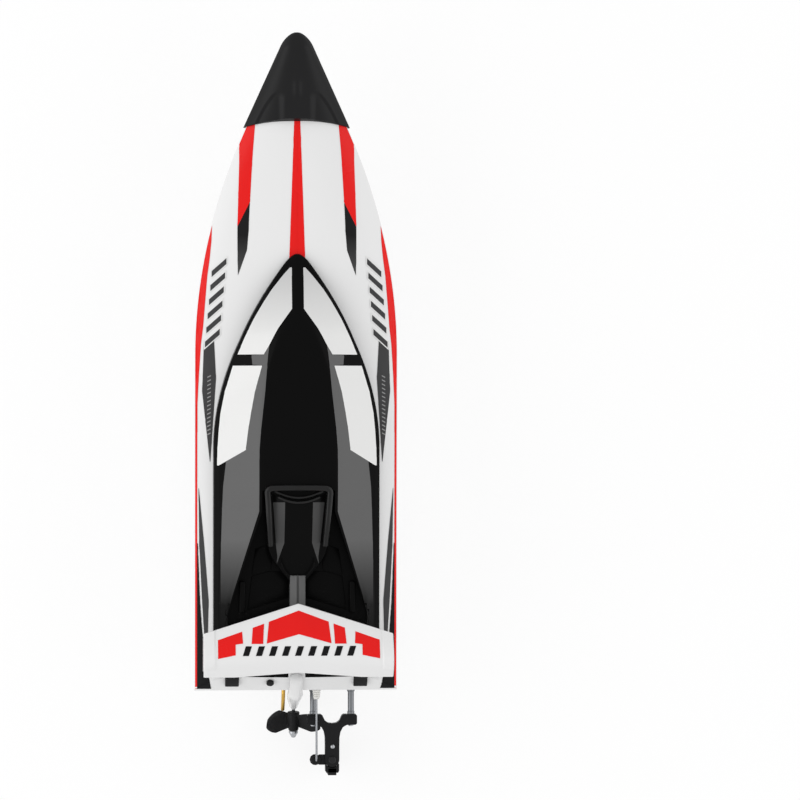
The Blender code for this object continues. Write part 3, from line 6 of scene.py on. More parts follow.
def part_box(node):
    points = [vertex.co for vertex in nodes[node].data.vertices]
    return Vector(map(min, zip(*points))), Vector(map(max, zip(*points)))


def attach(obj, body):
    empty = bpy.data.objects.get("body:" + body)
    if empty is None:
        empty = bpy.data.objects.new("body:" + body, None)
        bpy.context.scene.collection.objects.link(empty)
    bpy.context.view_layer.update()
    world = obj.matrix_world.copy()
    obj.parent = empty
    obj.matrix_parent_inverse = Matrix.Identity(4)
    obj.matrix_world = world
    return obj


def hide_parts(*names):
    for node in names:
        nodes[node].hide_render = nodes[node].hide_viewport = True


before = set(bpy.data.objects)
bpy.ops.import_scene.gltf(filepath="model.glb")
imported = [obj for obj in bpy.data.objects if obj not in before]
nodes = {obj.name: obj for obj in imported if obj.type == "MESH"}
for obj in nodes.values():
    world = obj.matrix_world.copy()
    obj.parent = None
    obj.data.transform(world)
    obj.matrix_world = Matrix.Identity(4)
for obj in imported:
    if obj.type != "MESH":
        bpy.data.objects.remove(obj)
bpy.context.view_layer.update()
print("frame loaded")

# lines of the boat, metres; a station is the distance forward of the transom's foot
lines = dict(length=0.377, beam=0.117, transomY=-0.16435, bowTaper=0.184, stemHalf=0.0008, gap=0.0003,
             gunwale=0.0012, wall=0.002, crown=0.011, stemCrown=0.0008, crownTaper=0.150, deckCurve=2.6,
             sheerAft=0.046, sheerBow=0.060, sheerCurve=1.6, rakeFade=0.030, bowBlock=0.030)


# small tools

def linear(hexValue):
    parts = [int(hexValue[i:i + 2], 16) / 255 for i in (1, 3, 5)]
    return tuple(p / 12.92 if p <= 0.04045 else ((p + 0.055) / 1.055) ** 2.4 for p in parts) + (1.0,)


def at(x, station, z):
    return Vector((x, lines["transomY"] + station, z))


def mm(x, station, z):
    return at(x / 1000, station / 1000, z / 1000)


def pick(piece):
    if bpy.context.mode != "OBJECT":
        bpy.ops.object.mode_set(mode="OBJECT")
    bpy.ops.object.select_all(action="DESELECT")
    piece.select_set(True)
    bpy.context.view_layer.objects.active = piece


def applyMods(piece):
    pick(piece)
    for modifier in list(piece.modifiers):
        bpy.ops.object.modifier_apply(modifier=modifier.name)


def inEdit(piece, **steps):
    # runs edit mode steps on the whole piece
    pick(piece)
    bpy.ops.object.mode_set(mode="EDIT")
    bpy.ops.mesh.select_all(action="SELECT")
    for step, settings in steps.items():
        getattr(bpy.ops.mesh, step)(**settings)
    bpy.ops.object.mode_set(mode="OBJECT")


weld = dict(threshold=0.00001)


def closeUp(piece):
    inEdit(piece, remove_doubles=weld, normals_make_consistent=dict(inside=False))


def smooth(piece, angle=32):
    pick(piece)
    bpy.ops.object.shade_smooth_by_angle(angle=math.radians(angle))
    return piece


def skin(name, rings, looped=False):
    # a skin through rings of equally many points, with closed ends
    count = len(rings[0])
    points = [p for ring in rings for p in ring]
    faces = []
    spans = len(rings) if looped else len(rings) - 1
    for i in range(spans):
        near = i * count
        far = ((i + 1) % len(rings)) * count
        for j in range(count):
            k = (j + 1) % count
            faces.append((near + j, near + k, far + k, far + j))
    if not looped:
        faces.append(tuple(range(count)))
        faces.append(tuple(range(len(points) - count, len(points))))
    mesh = bpy.data.meshes.new(name)
    mesh.from_pydata(points, [], faces)
    piece = bpy.data.objects.new(name, mesh)
    bpy.context.scene.collection.objects.link(piece)
    closeUp(piece)
    return piece


def slab(name, outline, low, high, place=mm):
    # an outline in plan raised between two heights
    return skin(name, [[place(x, s, z) for x, s in outline] for z in (low, high)])


def boolean(piece, other, operation="DIFFERENCE"):
    modifier = piece.modifiers.new("cut", "BOOLEAN")
    modifier.operation = operation
    modifier.solver = "EXACT"
    modifier.object = other
    applyMods(piece)
    bpy.data.objects.remove(other)
    return piece


def bevelled(piece, width, segments=2, angle=30):
    modifier = piece.modifiers.new("edge", "BEVEL")
    modifier.width = width
    modifier.segments = segments
    modifier.limit_method = "ANGLE"
    modifier.angle_limit = math.radians(angle)
    applyMods(piece)
    return piece


def joined(pieces, name):
    pick(pieces[0])
    for piece in pieces[1:]:
        piece.select_set(True)
    bpy.ops.object.join()
    pieces[0].name = name
    return pieces[0]


def block(name, low, high, width=0.0004, segments=2):
    # a box between two corners with its edges eased
    low, high = Vector(low), Vector(high)
    bpy.ops.object.select_all(action="DESELECT")
    bpy.ops.mesh.primitive_cube_add(size=1, location=(low + high) / 2)
    piece = bpy.context.object
    piece.name = name
    piece.scale = high - low
    bpy.ops.object.transform_apply(location=True, rotation=True, scale=True)
    return bevelled(piece, width, segments)


def turned(name, start, end, profile, sides=40):
    # a piece turned about the line from start to end: profile is (distance along, radius)
    start, end = Vector(start), Vector(end)
    turn = (end - start).to_track_quat("Z", "Y").to_matrix()
    rings = []
    for along, radius in profile:
        angles = [2 * math.pi * i / sides for i in range(sides)]
        ring = [Vector((radius * math.cos(a), radius * math.sin(a), along)) for a in angles]
        rings.append([start + turn @ p for p in ring])
    return skin(name, rings)


def bar(name, start, end, radius, chamfer=0.0003, sides=32):
    run = (Vector(end) - Vector(start)).length
    profile = [(0, radius - chamfer), (chamfer, radius), (run - chamfer, radius), (run, radius - chamfer)]
    return turned(name, start, end, profile, sides)


def routed(points, steps):
    knots = [Vector(p) for p in points]
    last = len(knots) - 1
    ways = [(knots[min(i + 1, last)] - knots[max(i - 1, 0)]).normalized() for i in range(last + 1)]
    route = []
    for i in range(last):
        run = knots[i + 1] - knots[i]
        for step in range(steps):
            t = step / steps
            leave = ways[i] * run.length * (t - 2 * t**2 + t**3)
            arrive = ways[i + 1] * run.length * (t**3 - t**2)
            route.append(knots[i] + run * (3 * t**2 - 2 * t**3) + leave + arrive)
    return route + [knots[-1]]


def tube(name, points, radius, sides=4):
    curve = bpy.data.curves.new(name, "CURVE")
    curve.dimensions = "3D"
    curve.bevel_depth = radius
    curve.bevel_resolution = sides
    curve.use_fill_caps = True
    spline = curve.splines.new("POLY")
    spline.points.add(len(points) - 1)
    for knot, point in zip(spline.points, points):
        knot.co = (*point, 1)
    piece = bpy.data.objects.new(name, curve)
    bpy.context.scene.collection.objects.link(piece)
    pick(piece)
    bpy.ops.object.convert(target="MESH")
    piece = bpy.context.object
    closeUp(piece)
    smooth(piece, 50)
    return piece


def dress(piece, body, material, slot, *replaced):
    piece.data.materials.clear()
    piece.data.materials.append(mats[material])
    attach(piece, body)
    if replaced:
        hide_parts(*replaced)
    return piece


def refined(node, angle=32, bevel=0.0):
    # the node's own shape, merged and smoothed
    source = nodes[node]
    piece = source.copy()
    piece.data = source.data.copy()
    piece.name = node + "_look"
    piece.parent = None
    piece.matrix_world = Matrix.Identity(4)
    bpy.context.scene.collection.objects.link(piece)
    inEdit(piece, remove_doubles=weld, dissolve_limited=dict(angle_limit=math.radians(1)))
    if bevel:
        bevelled(piece, bevel, 2, 40)
    smooth(piece, angle)
    return piece


def kept(node, material, slot, bevel=0.0, angle=30, body="hull"):
    # a node that keeps its own shape
    return dress(refined(node, angle, bevel), body, material, slot, node)


# materials

def addNode(tree, kind, settings=None, **links):
    node = tree.nodes.new(kind)
    for key, value in (settings or {}).items():
        if key in node.inputs:
            node.inputs[key].default_value = value
        else:
            setattr(node, key, value)
    for key, source in links.items():
        socket = node.inputs[int(key[1:])] if key[1:].isdigit() else node.inputs[key]
        tree.links.new(source, socket)
    return node


def finish(name, colour, roughness, metallic=0.0, variation=0.03, patchMm=18.0, grainMm=0.5, grain=0.0001,
           roughSpread=0.06, coat=0.0, transmission=0.0, ior=1.5, fade=None, specular=0.5):
    # colour drifts a little over patchMm, the surface rises and falls by grain over grainMm
    material = bpy.data.materials.new(name)
    material.use_nodes = True
    tree = material.node_tree
    shader = tree.nodes["Principled BSDF"]
    shader.inputs["Metallic"].default_value = metallic
    if metallic < 0.5:
        shader.inputs["IOR"].default_value = ior
    shader.inputs["Specular IOR Level"].default_value = specular
    shader.inputs["Coat Weight"].default_value = coat
    shader.inputs["Coat Roughness"].default_value = 0.08
    shader.inputs["Transmission Weight"].default_value = transmission
    where = addNode(tree, "ShaderNodeTexCoord").outputs["Object"]
    patch = addNode(tree, "ShaderNodeTexNoise", {"Scale": 1000 / patchMm, "Detail": 3.0}, Vector=where)
    base = linear(colour)
    dark = tuple(c * (1 - variation) for c in base[:3]) + (1,)
    light = tuple(min(1, c * (1 + variation)) for c in base[:3]) + (1,)
    mix = addNode(tree, "ShaderNodeMix", {"data_type": "RGBA"})
    mix.inputs[6].default_value = dark
    mix.inputs[7].default_value = light
    tree.links.new(patch.outputs["Fac"], mix.inputs[0])
    shade = mix.outputs[2]
    if fade:
        # colour runs out to another along the boat between two stations
        split = addNode(tree, "ShaderNodeSeparateXYZ", None, Vector=where)
        reach = {"From Min": at(0, fade[1], 0).y, "From Max": at(0, fade[2], 0).y}
        spread = addNode(tree, "ShaderNodeMapRange", reach, Value=split.outputs["Y"])
        out = addNode(tree, "ShaderNodeMix", {"data_type": "RGBA"})
        out.inputs[6].default_value = linear(fade[0])
        tree.links.new(spread.outputs["Result"], out.inputs[0])
        tree.links.new(shade, out.inputs[7])
        shade = out.outputs[2]
    tree.links.new(shade, shader.inputs["Base Color"])
    rough = addNode(tree, "ShaderNodeMapRange", {"To Min": max(0.02, roughness - roughSpread),
                                                 "To Max": roughness + roughSpread}, Value=patch.outputs["Fac"])
    tree.links.new(rough.outputs["Result"], shader.inputs["Roughness"])
    fine = addNode(tree, "ShaderNodeTexNoise", {"Scale": 1000 / grainMm, "Detail": 2.0}, Vector=where)
    bump = addNode(tree, "ShaderNodeBump", {"Strength": 0.35, "Distance": grain}, Height=fine.outputs["Fac"])
    tree.links.new(bump.outputs["Normal"], shader.inputs["Normal"])
    return material


def drawn(name, colour, roughness, stretch, lineMm=0.25):
    # drawn or brushed metal: fine lines run along the axis where stretch is small
    material = finish(name, colour, roughness, 1.0, 0.05, 12.0, 0.6, 0.00002)
    tree = material.node_tree
    shader = tree.nodes["Principled BSDF"]
    where = [n for n in tree.nodes if n.bl_idname == "ShaderNodeTexCoord"][0].outputs["Object"]
    spread = addNode(tree, "ShaderNodeMapping", {"Scale": stretch}, Vector=where)
    scratch = addNode(tree, "ShaderNodeTexNoise", {"Scale": 1000 / lineMm, "Detail": 2.0},
                      Vector=spread.outputs["Vector"])
    bump = addNode(tree, "ShaderNodeBump", {"Strength": 0.25, "Distance": 0.00004},
                   Height=scratch.outputs["Fac"])
    tree.links.new(bump.outputs["Normal"], shader.inputs["Normal"])
    return material


foreAft = (1.0, 0.03, 1.0)      # drawing lines that run fore and aft
athwart = (0.03, 1.0, 1.0)
mats = dict(
    shell=finish("ABS gloss white moulded", "#EDEDED", 0.24, variation=0.012, patchMm=40, grainMm=1.6,
                 grain=0.00003, coat=0.1, specular=0.25),          # faint orange peel under a clear shine
    inner=finish("ABS natural white inside", "#DDDAD4", 0.45, variation=0.03, patchMm=25, grainMm=0.7),
    fitting=finish("ABS satin white fitting", "#ECEBE6", 0.38, variation=0.02, grainMm=0.6),
    canopy=finish("ABS gloss black moulded", "#0A0A0A", 0.26, variation=0.10, patchMm=60, grainMm=2.0,
                  grain=0.00003, roughSpread=0.03, specular=0.04),   # deep black with soft waves
    rail=finish("ABS gloss black rail, painted highlight", "#161616", 0.20, variation=0.10, patchMm=30, grainMm=2.0, grain=0.00002,
                roughSpread=0.03, specular=0.20),     # base a little lighter than the canopy's black, a painted highlight; its shine adds a thin bright line along each edge
    bumper=finish("TPE satin black moulded", "#161617", 0.36, variation=0.08, patchMm=10, grainMm=0.5,
                  grain=0.00006, specular=0.16),
    nylon=finish("nylon satin black moulded", "#19191A", 0.42, variation=0.10, patchMm=8, grainMm=0.45,
                 grain=0.00008, specular=0.12),
    redVinyl=finish("vinyl gloss red cut", "#EA1513", 0.26, variation=0.04, patchMm=30, grainMm=1.2,
                    grain=0.00002, coat=0.05, specular=0.15),
    blackVinyl=finish("vinyl gloss black cut", "#171718", 0.30, variation=0.12, patchMm=20, grainMm=1.2,
                      grain=0.00002, specular=0.06),
    # painted sheen: the black bars turn grey towards their aft ends
    barVinyl=finish("vinyl gloss black cut, painted sheen aft", "#181819", 0.28, variation=0.10, patchMm=20,
                    grainMm=1.2, grain=0.00002, fade=("#4A4A4A", 0.240, 0.262), specular=0.1),
    greyVinyl=finish("vinyl charcoal cut", "#3C3C3D", 0.32, variation=0.10, patchMm=14, grainMm=1.0,
                     grain=0.00002, specular=0.15),
    tickVinyl=finish("vinyl pale grey cut", "#8E8E8E", 0.32, variation=0.08, patchMm=3, grainMm=1.0,
                     grain=0.00002),
    whiteVinyl=finish("vinyl gloss white cut", "#EAEAE9", 0.24, variation=0.012, patchMm=30, grainMm=1.4,
                      grain=0.00002, coat=0.1, specular=0.25),
    panel=finish("vinyl gloss white cut, painted shade at the nose", "#EAEAE9", 0.24, variation=0.012, patchMm=30, grainMm=1.4,
                 grain=0.00002, fade=("#C8C8C8", 0.243, 0.204), specular=0.25),   # painted shade: greyer towards the nose
    windowReflection=finish("painted window reflection, grey out to black aft", "#676767", 0.22, variation=0.04, patchMm=45, grainMm=2.0,
                  grain=0.00002, specular=0.04, fade=("#0C0C0C", 0.050, 0.088)),   # painted reflection: grey, fading out to black aft
    # painted reflection: the grey that the cowl's sloping facets show
    facetReflection=finish("painted facet reflection grey", "#454545", 0.24, variation=0.05, patchMm=12, grainMm=2.0,
                 grain=0.00002, specular=0.1),
    # painted reflection: the grey faces of the cowl's spine
    ridge=finish("painted spine reflection grey", "#606060", 0.26, variation=0.05, patchMm=12, grainMm=2.0, grain=0.00002,
                 specular=0.1),
    oxide=finish("steel black oxide", "#202021", 0.36, 0.7, variation=0.08, patchMm=6, grainMm=0.4,
                 grain=0.00003),
    steel=drawn("steel drawn bright", "#8E9093", 0.26, foreAft),
    post=drawn("steel satin turned post", "#75777A", 0.34, foreAft),
    can=drawn("steel zinc plated can", "#BFC2C6", 0.30, athwart, 0.3),
    bright=drawn("aluminium bright drawn tube", "#D4D6D9", 0.20, foreAft, 0.35),
    screw=drawn("steel zinc screw", "#A9ABAE", 0.30, athwart, 0.3),
    brass=drawn("brass drawn tube", "#C9A250", 0.28, foreAft),
    silicone=finish("silicone milky tube", "#E3E4E0", 0.30, variation=0.03, transmission=0.35, ior=1.41),
    wrap=finish("PVC blue shrink wrap", "#2E7FD2", 0.30, variation=0.10, patchMm=14, grainMm=2.2, grain=0.00012,
                coat=0.2),
    board=finish("PVC dark shrink wrap", "#23282B", 0.34, variation=0.12, patchMm=8, grainMm=1.5, grain=0.0001),
    green=finish("glass epoxy green board", "#3E9A3A", 0.4, variation=0.08, patchMm=5),
    redLead=finish("silicone red insulation", "#D5302B", 0.40, variation=0.06, patchMm=8),
    blackLead=finish("silicone black insulation", "#1C1C1D", 0.42, variation=0.10, patchMm=8),
    orangeLead=finish("PVC orange insulation", "#E2761F", 0.38, variation=0.06, patchMm=8),
    brownLead=finish("PVC brown insulation", "#5A3320", 0.38, variation=0.06, patchMm=8),
    redPlug=finish("nylon red plug", "#B8241E", 0.4, variation=0.06, patchMm=6),
    servo=finish("ABS black servo case", "#1E1E20", 0.44, variation=0.12, patchMm=6, grainMm=0.5,
                 grain=0.00008),
)
print("materials", len(mats))


# camera, light and floor

view = dict(px=800, mmPerPx=0.575, centreX=0.0587, centreStation=0.1675, height=2.45, planeZ=0.055, aside=0.17,
            aimZ=0.070, sensor=36)
studio = dict(lamps=(("left", (-1.3, -0.1, 0.75), 10.5), ("right", (1.3, -0.1, 0.75), 6.8)),
              lampSize=(2.6, 0.9), aim=(0, -0.1, 0.04), room=0.70, floorSize=6, floorZ=-0.0005, floorGlow=1.03,
              floorShare=0.80)


def plainlySeen(tree):
    # 1 for the rays that see the white background: straight, through glass or in a reflection
    path = addNode(tree, "ShaderNodeLightPath")
    direct = addNode(tree, "ShaderNodeMath", {"operation": "MAXIMUM"}, i0=path.outputs["Is Camera Ray"],
                     i1=path.outputs["Is Transmission Ray"])
    return addNode(tree, "ShaderNodeMath", {"operation": "MAXIMUM"}, i0=direct.outputs["Value"],
                   i1=path.outputs["Is Glossy Ray"])


def stageUp():
    frameWidth = view["px"] * view["mmPerPx"] / 1000
    camera = bpy.data.cameras.new("camera")
    camera.sensor_width = view["sensor"]
    camera.lens = view["sensor"] * (view["height"] - view["planeZ"]) / frameWidth
    holder = bpy.data.objects.new("camera", camera)
    holder.location = at(view["centreX"] - view["aside"], view["centreStation"], view["height"])
    holder.rotation_euler = (0, -math.atan2(view["aside"], view["height"] - view["aimZ"]), 0)
    bpy.context.scene.collection.objects.link(holder)
    bpy.context.scene.camera = holder
    bpy.context.scene.view_settings.view_transform = "Standard"

    for name, where, watts in studio["lamps"]:
        lamp = bpy.data.lights.new(name, "AREA")
        lamp.shape = "RECTANGLE"
        lamp.size, lamp.size_y = studio["lampSize"]
        lamp.energy = watts
        stand = bpy.data.objects.new(name, lamp)
        stand.location = where
        stand.rotation_euler = (Vector(studio["aim"]) - Vector(where)).to_track_quat("-Z", "Y").to_euler()
        bpy.context.scene.collection.objects.link(stand)

    world = bpy.data.worlds.new("studio")
    bpy.context.scene.world = world
    world.use_nodes = True
    tree = world.node_tree
    back = tree.nodes["Background"]
    back.inputs["Color"].default_value = (1, 1, 1, 1)
    level = addNode(tree, "ShaderNodeMapRange", {"To Min": studio["room"], "To Max": 1.0},
                    Value=plainlySeen(tree).outputs["Value"])
    tree.links.new(level.outputs["Result"], back.inputs["Strength"])

    bpy.ops.object.select_all(action="DESELECT")
    bpy.ops.mesh.primitive_plane_add(size=studio["floorSize"], location=(0, 0, studio["floorZ"]))
    floor = bpy.context.object
    floor.name = "floor"
    paper = bpy.data.materials.new("paper sweep white")
    paper.use_nodes = True
    tree = paper.node_tree
    shader = tree.nodes["Principled BSDF"]
    shader.inputs["Base Color"].default_value = linear("#F4F4F4")
    shader.inputs["Roughness"].default_value = 0.9
    glow = addNode(tree, "ShaderNodeEmission", {"Color": (1, 1, 1, 1), "Strength": studio["floorGlow"]})
    share = addNode(tree, "ShaderNodeMath", {"operation": "MULTIPLY"}, i0=plainlySeen(tree).outputs["Value"])
    share.inputs[1].default_value = studio["floorShare"]      # the rest keeps the boat's shadow
    blended = addNode(tree, "ShaderNodeMixShader", None, Fac=share.outputs["Value"], i1=shader.outputs["BSDF"],
                      i2=glow.outputs["Emission"])
    tree.links.new(blended.outputs["Shader"], tree.nodes["Material Output"].inputs["Surface"])
    floor.data.materials.append(paper)


stageUp()
print("camera and light")


# shapes of the deck and canopy

def ease(distance, length):
    return 1 - (1 - min(max(distance, 0), length) / length) ** 2


def halfBeam(s):
    swell = ease(lines["length"] - s, lines["bowTaper"])
    return lines["stemHalf"] + (lines["beam"] / 2 - lines["stemHalf"]) * swell


def sheerZ(s):
    share = (max(s, 0) / lines["length"]) ** lines["sheerCurve"]
    return lines["sheerAft"] + (lines["sheerBow"] - lines["sheerAft"]) * share


def deckZ(x, s):
    swell = ease(lines["length"] - s, lines["crownTaper"])
    rise = lines["stemCrown"] + (lines["crown"] - lines["stemCrown"]) * swell
    share = min(1, abs(x) / halfBeam(s))
    return sheerZ(s) + lines["gap"] + lines["gunwale"] + rise * (1 - share ** lines["deckCurve"])


def mirrored(half):
    return half + [(-x, z) for x, z in reversed(half)]


def section(s, half):
    return [at(x, s, z) for x, z in mirrored(half)]


def shifted(s, half):
    # a section that leans forward with height near the transom
    ring = []
    for x, z in mirrored(half):
        lean = max(0, z - sheerZ(0) - lines["gap"]) * max(0, 1 - s / lines["rakeFade"])
        ring.append(at(x, s + lean, z))
    return ring


def archHalf(s, half, tip, taper):
    return half * ease(tip - s, taper)


def arch(half, tip, taper, aft, steps=40):
    flank = [(half, aft), (half, aft + (tip - taper - aft) / 2)]
    for i in range(steps):
        s = tip - taper * (1 - i / steps) ** 2
        flank.append((archHalf(s, half, tip, taper), s))
    return flank + [(0, tip)] + [(-x, s) for x, s in reversed(flank)]


def rounded(points, radii, steps=3):
    # eases the inner corners of an open outline
    path = [points[0]]
    for before, here, after, radius in zip(points, points[1:], points[2:], radii):
        a, b, c = Vector(before), Vector(here), Vector(after)
        reach = min(radius, (a - b).length * 0.45, (c - b).length * 0.45)
        start, end = b + (a - b).normalized() * reach, b + (c - b).normalized() * reach
        for i in range(steps + 1):
            t = i / steps
            path.append(tuple(start * (1 - t) ** 2 + b * 2 * t * (1 - t) + end * t**2))
    return path + [points[-1]]


hatch = dict(half=0.043, tip=0.2445, taper=0.112, aft=0.0184, lip=0.0025, rise=0.003, sink=0.0008, start=0.006,
             ramp=0.015, shoulder=0.12, soft=0.0004, foot=0.8, cutFrom=0.02, cutTo=0.1)
deckShape = dict(rows=18, crownGap=0.02, stations=80, crowd=1.35, edgeRound=0.0006, sideWall=1.3, endWall=1.6,
                 topWall=1.2, footDrop=0.004)      # walls are shares of the shell's wall


def makeDeck():
    d, wall = deckShape, lines["wall"]
    shares = [1 - i / d["rows"] for i in range(d["rows"])] + [d["crownGap"]]
    stations = [lines["length"] * (1 - (i / d["stations"]) ** d["crowd"]) for i in range(d["stations"] + 1)]

    def top(s, drop, inset):
        edge = halfBeam(s) - inset
        return [(edge * k, deckZ(edge * k, s) - drop) for k in shares]

    outer = []
    for s in stations:
        rows = top(s, 0, 0)
        gunwale = rounded([(halfBeam(s), sheerZ(s) + lines["gap"])] + rows[:2], [d["edgeRound"]])
        outer.append(shifted(s, gunwale + rows[2:]))
    deck = skin("deck_top", outer)
    inset, end = d["sideWall"] * wall, d["endWall"] * wall
    hollow = [s for s in stations if end < s < lines["length"] - lines["bowBlock"]] + [end]
    under = [shifted(s, [(halfBeam(s) - inset, sheerZ(s) - d["footDrop"])] + top(s, d["topWall"] * wall, inset))
             for s in hollow]
    boolean(deck, skin("under", under))
    lip, foot = hatch["lip"], hatch["foot"] * wall
    core = arch(hatch["half"] - lip, hatch["tip"] - lip, hatch["taper"], hatch["aft"] + lip)
    outerLip = arch(hatch["half"] + lip, hatch["tip"] + lip, hatch["taper"], hatch["aft"] - lip)
    rings = []
    for (x, s), (wx, ws) in zip(core, outerLip):
        grown = min(1, max(0, (hatch["tip"] - hatch["start"] - ws) / hatch["ramp"]))
        z = deckZ(wx, ws) - hatch["sink"] + (hatch["rise"] + hatch["sink"]) * grown
        mid = Vector((wx - (wx - x) * hatch["shoulder"], ws - (ws - s) * hatch["shoulder"]))
        rings.append([at(x, s, deckZ(x, s) - foot), at(x, s, z), at(mid.x, mid.y, z),
                      at(wx, ws, z - hatch["soft"]), at(wx, ws, deckZ(wx, ws) - foot)])
    boolean(deck, skin("lip", rings, True), "UNION")
    inner = arch(hatch["half"], hatch["tip"], hatch["taper"], hatch["aft"])
    boolean(deck, slab("hole", inner, hatch["cutFrom"], hatch["cutTo"], at))
    return dress(smooth(deck, 28), "hull", "shell", "white_shell", "deck_shell")


deckTop = makeDeck()
kept("hull_shell", "shell", "white_shell", 0.0, 25)
print("hull and deck")

canopyLines = dict(half=0.048, tip=0.2514, taper=0.112, blunt=0.0030, bluntRun=0.005, bluntFade=0.050,
                   aft=0.0125, wall=0.0016, skirt=0.006, ledge=0.003, roofZ=0.084, roofHalf=0.0207,
                   roofTip=0.222, roofTaper=0.070, peak=0.150, roofAft=0.116, spine=0.0036, wellZ=0.0620,
                   wellHalf=0.040, flareFrom=0.104, wellFlare=0.058, rimAftZ=0.066, rim=0.0015, tipInset=2.4,
                   rearCurve=1.5, frontCurve=1.1)
canopyRim = dict(least=0.0004, smallHalf=0.02, footWall=1.3, topInset=1.2, edgeInset=0.6, edgeShare=0.8,
                 skirtIn=0.0004, ledgeRise=0.00015, skirtUnder=0.0006, ledgeUnder=0.0003, crownShare=0.3,
                 crown=0.0008, soft=(0.0002, 0.0009, 0.0012, 0.0022))
canopyCuts = dict(front=44, rear=20, hollow=20, crowd=1.3, tipTrim=0.0003, hollowTip=0.006, above=0.2,
                  behind=-0.004, drop=0.004, seatZ=0.014, seatShares=(1, 0.9, 0.8, 0.66, 0.5, 0.3, 0.12))
# sizes of the black lip that also stands in for the shadow line under the wing, mm
lipShadowLine = dict(inner=4.8, outer=42.0, count=16, back=8.2, bow=0.6, front=14.0, seat=0.8, thick=1.0, fall=0.2)


def canopyHalf(s, inset=0.0):
    c = canopyLines
    tip = c["tip"] - c["tipInset"] * inset
    behind = max(0, tip - s)
    blunt = c["blunt"] * ease(behind, c["bluntRun"]) ** 0.5 * max(0, 1 - behind / c["bluntFade"])
    return archHalf(s, c["half"] - inset, tip, c["taper"]) + blunt


def roofHalf(s):
    c = canopyLines
    if s < c["flareFrom"]:
        flare = min(1, (c["flareFrom"] - s) / c["wellFlare"])
        return c["roofHalf"] + c["rim"] + (c["wellHalf"] - c["roofHalf"]) * flare
    return max(c["spine"], archHalf(s, c["roofHalf"] + c["rim"], c["roofTip"], c["roofTaper"]))


def roofZ(s):
    c = canopyLines
    if s < c["roofAft"]:
        share = max(0, s - c["aft"]) / (c["roofAft"] - c["aft"])
        return c["rimAftZ"] + (c["roofZ"] - c["rimAftZ"]) * share ** c["rearCurve"]
    low = deckZ(0, c["tip"]) + lines["gap"] + c["wall"]
    share = min(1, (c["tip"] - s) / (c["tip"] - c["peak"]))
    return low + (c["roofZ"] - low) * math.sin(share * math.pi / 2) ** c["frontCurve"]


def canopyRing(s, inset=0.0, drop=0.0, ceiling=None, soft=True):
    c, r = canopyLines, canopyRim
    x = max(canopyHalf(s, inset), r["least"])
    small = min(1, x / r["smallHalf"])                  # details shrink into the tip
    inner = max(x - r["footWall"] * c["wall"], x / 2)
    foot = deckZ(x, s) + lines["gap"]
    skirt = foot + c["skirt"] * small - inset / 2
    ledge = skirt + c["ledge"] / 2 * small - inset / 3
    top = roofZ(s) - r["topInset"] * inset
    edge = min(roofHalf(s) - r["edgeInset"] * inset, r["edgeShare"] * x)
    if ceiling is not None:
        skirt, ledge = min(skirt, ceiling - r["skirtUnder"]), min(ledge, ceiling - r["ledgeUnder"])
        top = ceiling
    half = [(inner, deckZ(inner, s) + lines["gap"] - drop), (x, foot - drop), (x - r["skirtIn"] * small, skirt),
            (x - c["ledge"] * small, max(ledge, skirt + r["ledgeRise"])), (edge, top),
            (r["crownShare"] * edge, top + r["crown"])]
    if soft:
        toe, knee, shelf, brow = r["soft"]
        half = rounded(half, [toe, knee * small, shelf * small, brow])
    return section(s, half)


def makeCanopy():
    c, cut, wall = canopyLines, canopyCuts, canopyLines["wall"]

    def crowded(start, end, count):
        return [start - (start - end) * (i / count) ** cut["crowd"] for i in range(count + 1)]

    front = crowded(c["tip"], c["roofAft"], cut["front"])
    rear = [c["roofAft"] - (c["roofAft"] - c["aft"]) * i / cut["rear"] for i in range(1, cut["rear"] + 1)]
    shell = skin("canopy_body", [canopyRing(s) for s in [front[0] - cut["tipTrim"]] + front[1:] + rear])
    well = [(c["roofHalf"], c["roofAft"]), (c["roofHalf"], c["flareFrom"]),
            (c["wellHalf"], c["flareFrom"] - c["wellFlare"]), (c["wellHalf"], cut["behind"])]
    well += [(-x, s) for x, s in reversed(well)]
    boolean(shell, slab("well", well, c["wellZ"], cut["above"], at))
    tip, aft = c["tip"] - c["tipInset"] * wall - cut["hollowTip"], c["roofAft"] + 2 * wall
    hollow = [canopyRing(s, wall, cut["drop"], None, False) for s in crowded(tip, aft, cut["hollow"])]
    boolean(shell, skin("hollow", hollow))
    behind = [c["aft"] + wall, (c["aft"] + c["roofAft"]) / 2, c["roofAft"] + 3 * wall]
    boolean(shell, skin("low", [canopyRing(s, wall, cut["drop"], c["wellZ"] - wall, False) for s in behind]))
    edge = canopyHalf(c["aft"], 1.5 * wall)
    seat = []
    for s in (cut["behind"], c["aft"] + 2 * wall):
        half = [(edge, cut["seatZ"])]
        half += [(edge * k, deckZ(edge * k, s) + lines["gap"]) for k in cut["seatShares"]]
        seat.append(section(s, half))
    boolean(shell, skin("seat", seat))
    return dress(smooth(shell, 24), "canopy", "canopy", "black_gloss", "canopy_shell")


def makeLipShadowLine():
    # a black lip at the moulding's back edge, partly a dark strip standing in for the shadow line under the
    # wing's trailing edge; left open where the strut's top passes
    r = lipShadowLine
    lips = []
    for side in (-1, 1):
        rings = []
        for i in range(r["count"] + 1):
            x = r["inner"] + (r["outer"] - r["inner"]) * i / r["count"]
            back = r["back"] + r["bow"] * (x / r["outer"]) ** 2
            z = 1000 * deckZ(x / 1000, canopyLines["aft"]) + r["seat"]
            front = z + r["fall"]
            rings.append([mm(side * x, back, z), mm(side * x, r["front"], front),
                          mm(side * x, r["front"], front + r["thick"]), mm(side * x, back, z + r["thick"])])
        lips.append(bevelled(skin("lip", rings), 0.0003))
    tail = joined(lips, "canopy_lip_shadow_line")
    dress(smooth(tail), "canopy", "canopy", "black_gloss")


canopyBody = makeCanopy()
makeLipShadowLine()

